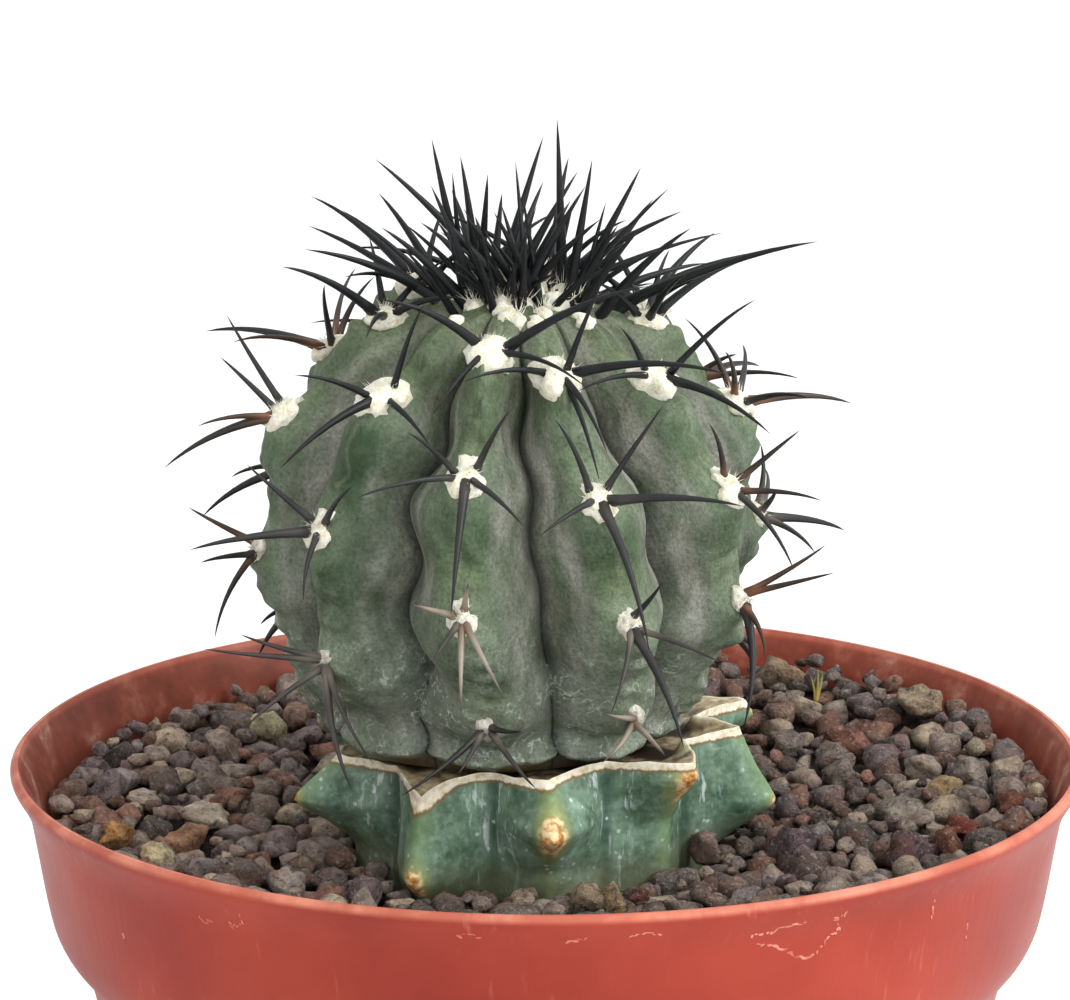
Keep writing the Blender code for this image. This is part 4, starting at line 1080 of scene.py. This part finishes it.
def unit(direction):
    return direction / np.linalg.norm(direction)


def scion_frame(rib_place, climb):
    """Point on a crest with its sideways, upward and outward directions there."""
    point = scion_point(rib_place, climb)
    up = unit(scion_point(rib_place, min(math.pi - 0.001, climb + 0.03)) - point)
    side = scion_point(rib_place + 0.01, climb) - point
    out = unit(np.cross(side, up))
    if out @ (point - SCION_BASE - np.array((0.0, 0.0, SCION_WAIST))) < 0.0:
        out = -out
    return point, np.cross(up, out), up, out


def cushion_master(seed, detail):
    """A lumpy ball of felt with a few deep bays round its edge, where the spines press into it."""
    draws = random.Random(seed)
    points, faces = unit_ball(detail)
    bearing = np.arctan2(points[:, 1], points[:, 0])
    flat = np.hypot(points[:, 0], points[:, 1])
    bay = np.zeros(len(points))
    for _ in range(draws.randint(5, 6)):
        centre = draws.uniform(-math.pi, math.pi)
        gap = np.angle(np.exp(1j * (bearing - centre)))
        bay += np.exp(-(gap / BAY_WIDTH) ** 2) * draws.uniform(*BAY_DEPTHS)
    shift = Vector((seed * 2.3, seed * 4.1, seed * 1.7))
    tufts = np.array([sum(noise.noise(Vector(point) * pitch + shift) * height for pitch, height in TUFTS)
                      for point in points])
    return points * (1.0 - bay * flat ** 2 + tufts)[:, None], faces


def areole_fade(length):
    """Areoles and their spines shrink down the plant, by the distance from the crown."""
    return 1.0 - 0.45 * float(smooth_step(length, 30.0, LAST_AREOLE))


pads = []
for rib in range(SCION_RIBS):
    length, spacing = AREOLES[rib]
    number = 0
    while length < LAST_AREOLE:
        point, side, up, out = scion_frame(rib, climb_at(length))
        pads.append((rib, number, length, point, side, up, out))
        length += spacing
        number += 1
crown = scion_point(0.0, math.pi)
crown_lean = Matrix.Rotation(LEAN_FRONT, 3, "X") @ Matrix.Rotation(LEAN_RIGHT, 3, "Y")
crown_axis = np.array(crown_lean @ Vector((0.0, 0.0, 1.0)))
crown_side = np.array(crown_lean @ Vector((1.0, 0.0, 0.0)))
crown_back = np.cross(crown_axis, crown_side)


def lay_cushion(cushion, spot, axes, size, age):
    """Lays a cushion at a spot along its sideways, upward and outward axes, and notes how old it is."""
    points, faces = cushion
    felt.append((spot + (points * size) @ np.stack(axes), faces))
    felt_tone.append(np.full(len(points), age))


felt_draws = random.Random(21)
cushions = [cushion_master(seed, 3) for seed in range(1, 9)]
felt = []
felt_tone = []
hair_roots = []
for rib, number, length, point, side, up, out in pads:
    fade = areole_fade(length)
    size = WOOL_PAD * fade * PAD_SHAPE * (1.0 if number else PAD_GROWTH[rib])
    old = float(smooth_step(length, 40.0, 75.0))
    lay_cushion(felt_draws.choice(cushions), point - out * PAD_SINK, (side, up, out), size, old)
    for _ in range(PAD_HAIRS):
        angle = felt_draws.uniform(0.0, math.tau)
        tilt = felt_draws.uniform(0.15, 1.25)
        away = (side * math.cos(angle) + up * math.sin(angle)) * math.sin(tilt) + out * math.cos(tilt)
        root = point - out * PAD_SINK + away * size.min() * 0.9 * (0.9 + 0.5 * math.sin(tilt))
        hair_roots.append((root, away, felt_draws.uniform(0.9, 1.9) * fade, old))
for rib in range(SCION_RIBS):
    point, side, up, out = scion_frame(rib, climb_at(AREOLES[rib, 0] * BUD_SHARE))
    cushion = felt_draws.choice(cushions)
    size = BUD_PAD * felt_draws.uniform(0.7, 1.15)
    lay_cushion(cushion, point - out * PAD_SINK, (side, up, out), size, 0.0)
for index in range(CROWN_PADS):
    reach = CROWN_WOOL_REACH * math.sqrt((index + 0.4) / CROWN_PADS)
    angle = index * GOLDEN_ANGLE
    spot = crown + crown_side * reach * math.cos(angle) + crown_back * reach * math.sin(angle)
    spot = spot - crown_axis * (CROWN_SINK + reach * reach * CROWN_ROUNDING)
    cushion = felt_draws.choice(cushions)
    size = CROWN_PAD * felt_draws.uniform(0.7, 1.2)
    lean = unit(crown_axis + crown_side * math.cos(angle) * reach * 0.05
                + crown_back * math.sin(angle) * reach * 0.05)
    side = np.cross(crown_back, lean)
    lay_cushion(cushion, spot, (side, np.cross(lean, side), lean), size, 0.0)
    for _ in range(CROWN_PAD_HAIRS):
        turn = felt_draws.uniform(0.0, math.tau)
        aside = crown_side * math.cos(turn) + crown_back * math.sin(turn)
        away = unit(lean + aside * felt_draws.uniform(0.1, 0.9))
        hair_roots.append((spot + away * CROWN_PAD, away, felt_draws.uniform(1.4, 3.4), 0.0))
wool = copies_in_one("areole_wool", felt)
paint_points(wool, "old", np.concatenate(felt_tone))

# Plant felt: matt, cream to white fibres that scatter light, yellower where fresh, dusty grey where old.
fleece, shader, place = new_material(wool, "cream_areole_felt", 1.0, 1.4)
shader.inputs["Sheen Weight"].default_value = 0.35
shader.inputs["Sheen Roughness"].default_value = 0.6
old = stored(fleece, "old")
tuft = speckle(fleece, place, 0.0011, 5.0, 0.7)
fresh = tones(fleece, tuft, (0.30, "#D2C89E"), (0.44, "#F0EACC"), (0.58, "#FCFAEC"))
aged = tones(fleece, tuft, (0.30, "#8F877A"), (0.46, "#C4BFAF"), (0.62, "#ECE9DD"))
tone = laid_over(fleece, fresh, old, aged)
wire(fleece, tone, shader, "Base Color")
wire(fleece, relief(fleece, tuft, 0.9, 0.0008), shader, "Normal")
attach(wool, "root")
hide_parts("scion")

# Loose hairs of the same wool: three-sided wisps that stand out of the felt and break up its edge.
HAIR_RADIUS = 0.07
HAIR_STRAY = 0.3
deselect()
bpy.ops.mesh.primitive_cone_add(vertices=3, radius1=1.0, radius2=0.0, depth=1.0, end_fill_type="NOTHING",
                                location=(0.0, 0.0, 0.5))
wisp_points, wisp_faces = take_mesh(bpy.context.object)
wisp_points = wisp_points + (0.0, 0.0, 0.5)


def side_ways(along):
    """Two directions square to a line."""
    other = np.array((0.0, 0.0, 1.0)) if abs(along[2]) < 0.9 else np.array((1.0, 0.0, 0.0))
    across = unit(np.cross(other, along))
    return across, np.cross(along, across)


hairs = []
hair_tone = []
for root, away, reach, age in hair_roots:
    stray = np.array([felt_draws.gauss(0, HAIR_STRAY) for _ in range(3)])
    along = unit(away + stray)
    across, beside = side_ways(along)
    placed = root + wisp_points * (HAIR_RADIUS, HAIR_RADIUS, reach) @ np.stack((across, beside, along))
    hairs.append((placed, wisp_faces))
    hair_tone.append(np.full(len(placed), age))
wisps = copies_in_one("wool_hairs", hairs)
paint_points(wisps, "old", np.concatenate(hair_tone))
wisps.data.materials.append(fleece)
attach(wisps, "root")
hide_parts("scion")

# Spines: stiff horny needles, gently curved, five or so to an areole and a dense black brush at the crown.
# They are modelled once as a tapered tube, and each copy is drawn along its own bow.
SPINE_SIDES = 8
SPINE_ROWS = 9
VIEW_PITCH = math.radians(13.5)
# Areoles that face the viewer: each spine's tip to the right, up and out of its areole, in millimetres.
FRONT_SPINES = {
    (0, 0): ((-15, 7, 10), (-8, -9, 12), (13, -5, 12), (22, 9, 8)),
    (0, 1): ((-15, -3, 9), (-2, -19, 9), (-8, 6, 8), (6, 9, 8), (8, -7, 10)),
    (0, 2): ((-7, 2, 7), (1, 5, 6), (-4, -6, 7), (0, -13, 6), (6, -11, 7)),
    (0, 3): ((-12, -9, 8), (5, 0, 6), (7, -8, 8), (-4, -6, 7)),
    (1, 0): ((24, 0, 9), (-13, -1, 10), (7, -11, 12), (6, -15, 8), (6, 12, 9)),
    (1, 1): ((-6, 11, 8), (9, 13, 8), (20, -1, 9), (7, -21, 10), (-8, -5, 9)),
    (1, 2): ((4, 6, 7), (7, -17, 10), (12, -5, 7), (-3, -12, 7)),
    (1, 3): ((-5, -6, 7), (4, -5, 8), (-5, 1, 6)),
    (2, 0): ((16, -8, 9), (14, 11, 6), (-5, 7, 6), (-11, -2, 9)),
    (2, 1): ((10, 8, 2), (13, -2, 4), (9, -12, 7), (-3, 9, 5)),
    (2, 2): ((12, 8, 2), (13, 4, 5), (3, -8, 8), (0, -18, 7)),
    (9, 0): ((6, 13, 8), (-12, 3, 8), (-14, -10, 9), (7, -7, 10)),
    (9, 1): ((-18, -3, 6), (-2, -10, 7), (-10, 9, 5), (5, 6, 8)),
    (9, 2): ((-17, 2, 7), (-11, -9, 8), (4, -18, 8), (7, -14, 10), (-12, 4, 5)),
    (8, 1): ((-17, -8, 3), (-9, 8, 1), (-8, 14, 2), (-12, -2, 5)),
    (8, 2): ((-6, -13, 5), (-10, 6, 2), (-8, -2, 6)),
}
# Crown spines: each tip to the right, up and out of the crown's centre. The last ones are thinner.
CROWN_SPINES = (
    (-21, 19, 6), (-13, 22, 4), (-9, 20, -3), (-5, 17, 3), (3, 23, -5), (5, 25, 3), (-3, 15, -8), (8, 18, -6),
    (10, 19, 5), (17, 18, 3), (19, 14, -6), (23, 12, -2), (24, 9, 8), (9, 15, 8), (7, 14, -10), (11, 10, 12),
    (-21, 15, -7), (-13, 15, 9), (-15, 11, -12), (-20, 9, 10), (-4, 11, 13), (17, 9, 12), (42, 7, 10),
    (35, 6, 2), (27, 5, -12), (-31, 10, -4), (-31, 6, 8), (-7, 12, -15), (16, 11, -15), (3, 17, -14),
    (-10, 17, 6), (0, 14, 6), (12, 13, 2), (-6, 9, 10), (20, 6, 9), (-17, 6, 12), (2, 12, 9), (14, 6, 14),
    (-1, 19, -1), (-26, 12, 1), (21, 15, 3), (29, 9, -4))
STOUT_CROWN_SPINES = 30
YOUNG_SPINES = 28
# Clock angle from the crown's side, length and rise of each spine of an areole that is seen from elsewhere.
SPINE_FAN = ((-48.0, 12.0, 32.0), (38.0, 14.0, 30.0), (-102.0, 16.0, 24.0), (98.0, 18.0, 22.0),
             (172.0, 20.0, 32.0))
# Radii of the spines at their base, and the length from which one is stout, in millimetres.
STOUT_SPINE = 0.80
FRONT_SPINE = 0.55
SLIM_SPINE = 0.58
CROWN_SPINE = 1.02
SLIM_CROWN_SPINE = 0.72
LONG_SPINE = 19.0
SPINE_BOW = 0.07

deselect()
bpy.ops.mesh.primitive_circle_add(vertices=SPINE_SIDES, radius=1.0, fill_type="TRIFAN")
bpy.ops.object.mode_set(mode="EDIT")
bpy.ops.mesh.select_all(action="SELECT")
for _ in range(SPINE_ROWS):
    bpy.ops.mesh.extrude_region_move(TRANSFORM_OT_translate={"value": (0.0, 0.0, 1.0 / SPINE_ROWS)})
bpy.ops.mesh.select_all(action="SELECT")
bpy.ops.mesh.normals_make_consistent(inside=False)
bpy.ops.mesh.quads_convert_to_tris()
bpy.ops.object.mode_set(mode="OBJECT")
needle_points, needle_faces = take_mesh(bpy.context.object)


def viewer_offset(right, up, out):
    """Offset from three distances seen along the photograph's line of sight, in millimetres."""
    sine, cosine = math.sin(VIEW_PITCH), math.cos(VIEW_PITCH)
    return np.array((right, up * sine - out * cosine, up * cosine + out * sine), float)


def spine(root, tip, bow, thick):
    """The needle drawn from root to tip, bowed in the middle, with a stout base and a drawn-out point."""
    share = needle_points[:, 2]
    line = root + np.outer(share, tip - root) + np.outer(4.0 * share * (1.0 - share), bow)
    along = (tip - root) + np.outer(4.0 - 8.0 * share, bow)
    along = along / np.linalg.norm(along, axis=1)[:, None]
    across, _ = side_ways(unit(tip - root))
    beside = np.cross(along, across)
    beside = beside / np.linalg.norm(beside, axis=1)[:, None]
    across = np.cross(beside, along)
    width = thick * np.where(share < 0.06, 1.25, 1.0) * (1.0 - share) ** 0.62 * (1.0 - 0.25 * share) + 0.02
    line = line + across * (needle_points[:, 0] * width)[:, None]
    return line + beside * (needle_points[:, 1] * width)[:, None]


spine_draws = random.Random(11)
needles = []
needle_tone = []


def add_spine(root, tip, bow, thick, base, shaft, point):
    """Lays one spine, coloured from its base along the shaft to its point."""
    share = needle_points[:, 2]
    needles.append((spine(root, tip, bow, thick), needle_faces))
    base, shaft, point = (np.array(linear(code)) for code in (base, shaft, point))
    low = smooth_step(share, 0.10, 0.30)[:, None]
    high = smooth_step(share, 0.55, 1.0)[:, None]
    needle_tone.append((base * (1.0 - low) + shaft * low) * (1.0 - high) + point * high)


# Each colouring of a spine: its base, its shaft and its point. Spines are black near the crown and turn
# grey low down, by the distance of their areole from the crown.
BLACK_UP_TO = 30.0
OLD_FROM = 55.0
BLACK = ("#17181A", "#0D1012", "#15110F")
BROWN = ("#574030", "#262220", "#1B1614")
TAWNY = ("#76503A", "#3E3128", "#261E1A")
CHALKY = ("#7A6A5A", "#948A7C", "#3E3833")
GREY = ("#6A635A", "#403C38", "#242120")
SLATE = ("#3A3836", "#262626", "#171616")
RUSTY_AREOLES = ((8, 1), (8, 2), (2, 1), (2, 2), (2, 0))
CHALKY_AREOLES = ((0, 2), (1, 3))
for rib, number, length, point, side, up, out in pads:
    fade = areole_fade(length)
    inner = point + out * 0.55 * fade
    tint_choice = (SLATE, SLATE, SLATE)
    if (rib, number) in RUSTY_AREOLES or (2 < rib < 8 and length < OLD_FROM):
        tint_choice = (BROWN, TAWNY, SLATE)
    elif (rib, number) in CHALKY_AREOLES:
        tint_choice = (CHALKY, GREY)
    elif length > OLD_FROM:
        tint_choice = (GREY, SLATE)
    if (rib, number) in FRONT_SPINES:
        for tip in FRONT_SPINES[(rib, number)]:
            reach = viewer_offset(*tip)
            size = np.linalg.norm(reach)
            flat = unit(reach - out * (reach @ out))
            tints = spine_draws.choice(tint_choice) if length > BLACK_UP_TO else BLACK
            thick = STOUT_SPINE if size > LONG_SPINE else FRONT_SPINE
            add_spine(inner + flat * 1.5 * fade, point + reach, out * size * SPINE_BOW, thick, *tints)
        continue
    for clock, spine_length, rise in SPINE_FAN:
        clock = math.radians(clock + spine_draws.uniform(-12.0, 12.0))
        rise = math.radians(rise + spine_draws.uniform(-8.0, 8.0))
        reach = spine_length * spine_draws.uniform(0.85, 1.15) * fade
        flat = up * math.cos(clock) + side * math.sin(clock)
        direction = flat * math.cos(rise) + out * math.sin(rise)
        tints = spine_draws.choice(tint_choice) if length > BLACK_UP_TO else BLACK
        thick = STOUT_SPINE if spine_length > LONG_SPINE else SLIM_SPINE
        add_spine(inner + flat * 1.5 * fade, point + direction * reach, out * reach * SPINE_BOW, thick,
                  *tints)
for index, tip in enumerate(CROWN_SPINES):
    reach = viewer_offset(*tip)
    flat = reach - crown_axis * (reach @ crown_axis)
    size = np.linalg.norm(flat)
    start = flat / size * min(6.0, 1.0 + size * 0.2)
    start = start + crown_side * spine_draws.uniform(-5.5, 5.5) + crown_back * spine_draws.uniform(-4.5, 4.5)
    root = crown + start - crown_axis * (2.0 + np.linalg.norm(start) * 0.25)
    bow = crown_axis * size * 0.05 + flat * spine_draws.uniform(-0.03, 0.03)
    thick = CROWN_SPINE if index < STOUT_CROWN_SPINES else SLIM_CROWN_SPINE
    add_spine(root, crown + reach, bow, thick, *BLACK)
for _ in range(YOUNG_SPINES):
    turn = spine_draws.uniform(0.0, math.tau)
    away = crown_side * math.cos(turn) + crown_back * math.sin(turn)
    tilt = math.radians(spine_draws.uniform(10.0, 62.0))
    start = crown + away * spine_draws.uniform(-4.0, 8.0) - crown_axis * 1.8
    tip = start + (away * math.sin(tilt) + crown_axis * math.cos(tilt)) * spine_draws.uniform(10.0, 17.0)
    add_spine(start, tip, crown_axis * 0.5, spine_draws.uniform(0.6, 0.9), *BLACK)
spines = copies_in_one("spines", needles)
paint_points(spines, "spine_tone", np.concatenate(needle_tone))

# Horny spine tissue: hard, fine-ribbed and slightly waxed, black with a blue-grey sheen, so that it catches
# a narrow light along its length and looks chalky only where it is old.
horn, shader, place = new_material(spines, "black_spine_horn", 0.42, 1.5)
shader.inputs["Specular IOR Level"].default_value = 0.3
own = stored(horn, "spine_tone", "Color")
worn = speckle(horn, place, 0.0022, 4.0)
worn_mask = ranged(horn, worn, 0.50, 0.75, 0.25)
tone = laid_over(horn, own, worn_mask, "#2A2C2F")
wire(horn, tone, shader, "Base Color")
wire(horn, ranged(horn, worn, 0.0, 1.0, 0.58, 0.34), shader, "Roughness")
wire(horn, relief(horn, worn, 0.3, 0.0002), shader, "Normal")
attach(spines, "root")
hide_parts("scion")

# Sprout: a weed seedling a few millimetres high that has come up between the stones at the back right.
SPROUT_PLACE = np.array((43.0, 46.0, 79.5))
SPROUT_BLADES = ((0.2, -0.3, 5.4), (1.0, 0.2, 4.6), (-0.9, 0.2, 4.2))
blades = [(spine(SPROUT_PLACE, SPROUT_PLACE + blade, np.array((0.15, 0.0, 0.0)), 0.30), needle_faces)
          for blade in SPROUT_BLADES]
sprout = copies_in_one("weed_sprout", blades)

# Young leaf tissue: soft, a little translucent, yellow-green with a paler base.
leaf, shader, place = new_material(sprout, "seedling_leaf", 0.5, 1.4)
leaf_height = add_node(leaf, "ShaderNodeSeparateXYZ", links={0: place}).outputs["Z"]
leaf_tone = ranged(leaf, leaf_height, 0.081, 0.088)
wire(leaf, tones(leaf, leaf_tone, (0.0, "#A79A52"), (0.5, "#9C9A3C"), (1.0, "#7F8C34")), shader, "Base Color")
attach(sprout, "root")
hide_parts("grit")

# Floor: a wide pale sweep, with soft light from above and the right, and the camera where the photograph's
# stood, three quarters of a metre off and looking down on the pot.
deselect()
bpy.ops.mesh.primitive_plane_add(size=12.0)
floor = bpy.context.object
floor.name = "floor"
paper, shader, place = new_material(floor, "white_paper_sweep", 0.9, 1.45)
tooth = speckle(paper, place, 0.02, 3.0)
white = tones(paper, tooth, (0.3, "#F6F6F6"), (0.7, "#FBFBFB"))
wire(paper, white, shader, "Base Color")
floor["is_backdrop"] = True

SKY_DARK = 0.40
SKY_BRIGHT = 1.5
SKY_TOP = (0.12, -0.10, 0.98)
PHOTO_FOCAL_PIXELS = 5002.0
PHOTO_WIDTH_PIXELS = 1070.0
CAMERA_PITCH = 13.47
CAMERA_PLACE = (-0.00165, -0.7198, 0.2959)
world = bpy.data.worlds.new("studio")
world.use_nodes = True
toward = add_node(world, "ShaderNodeTexCoord").outputs["Generated"]
facing = add_node(world, "ShaderNodeVectorMath", {1: SKY_TOP}, {0: toward}, operation="DOT_PRODUCT")
glow = ranged(world, facing.outputs["Value"], -0.1, 1.0, SKY_BRIGHT, SKY_DARK)
world.node_tree.nodes["Background"].inputs["Color"].default_value = (1.0, 1.0, 1.0, 1.0)
wire(world, glow, world.node_tree.nodes["Background"], "Strength")
bpy.context.scene.world = world
bpy.context.scene.view_settings.view_transform = "Standard"


def add_light(name, place, aim, size, power):
    lamp = bpy.data.lights.new(name, "AREA")
    lamp.shape = "DISK"
    lamp.size = size
    lamp.energy = power
    item = bpy.data.objects.new(name, lamp)
    bpy.context.collection.objects.link(item)
    item.location = place
    item.rotation_euler = (Vector(aim) - Vector(place)).to_track_quat("-Z", "Y").to_euler()


LIT_SPOT = (0.0, 0.0, 0.10)
add_light("key", (0.60, -0.25, 0.65), LIT_SPOT, 0.35, 4.4)
add_light("fill", (0.35, -0.80, 0.45), LIT_SPOT, 0.6, 1.9)

eye = bpy.data.cameras.new("eye")
eye.sensor_width = 36.0
eye.lens = eye.sensor_width * PHOTO_FOCAL_PIXELS / PHOTO_WIDTH_PIXELS
eye.clip_start = 0.01
eye.clip_end = 60.0
camera = bpy.data.objects.new("eye", eye)
bpy.context.collection.objects.link(camera)
camera.location = CAMERA_PLACE
camera.rotation_euler = (math.radians(90.0 - CAMERA_PITCH), 0.0, 0.0)
bpy.context.scene.camera = camera

low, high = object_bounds()
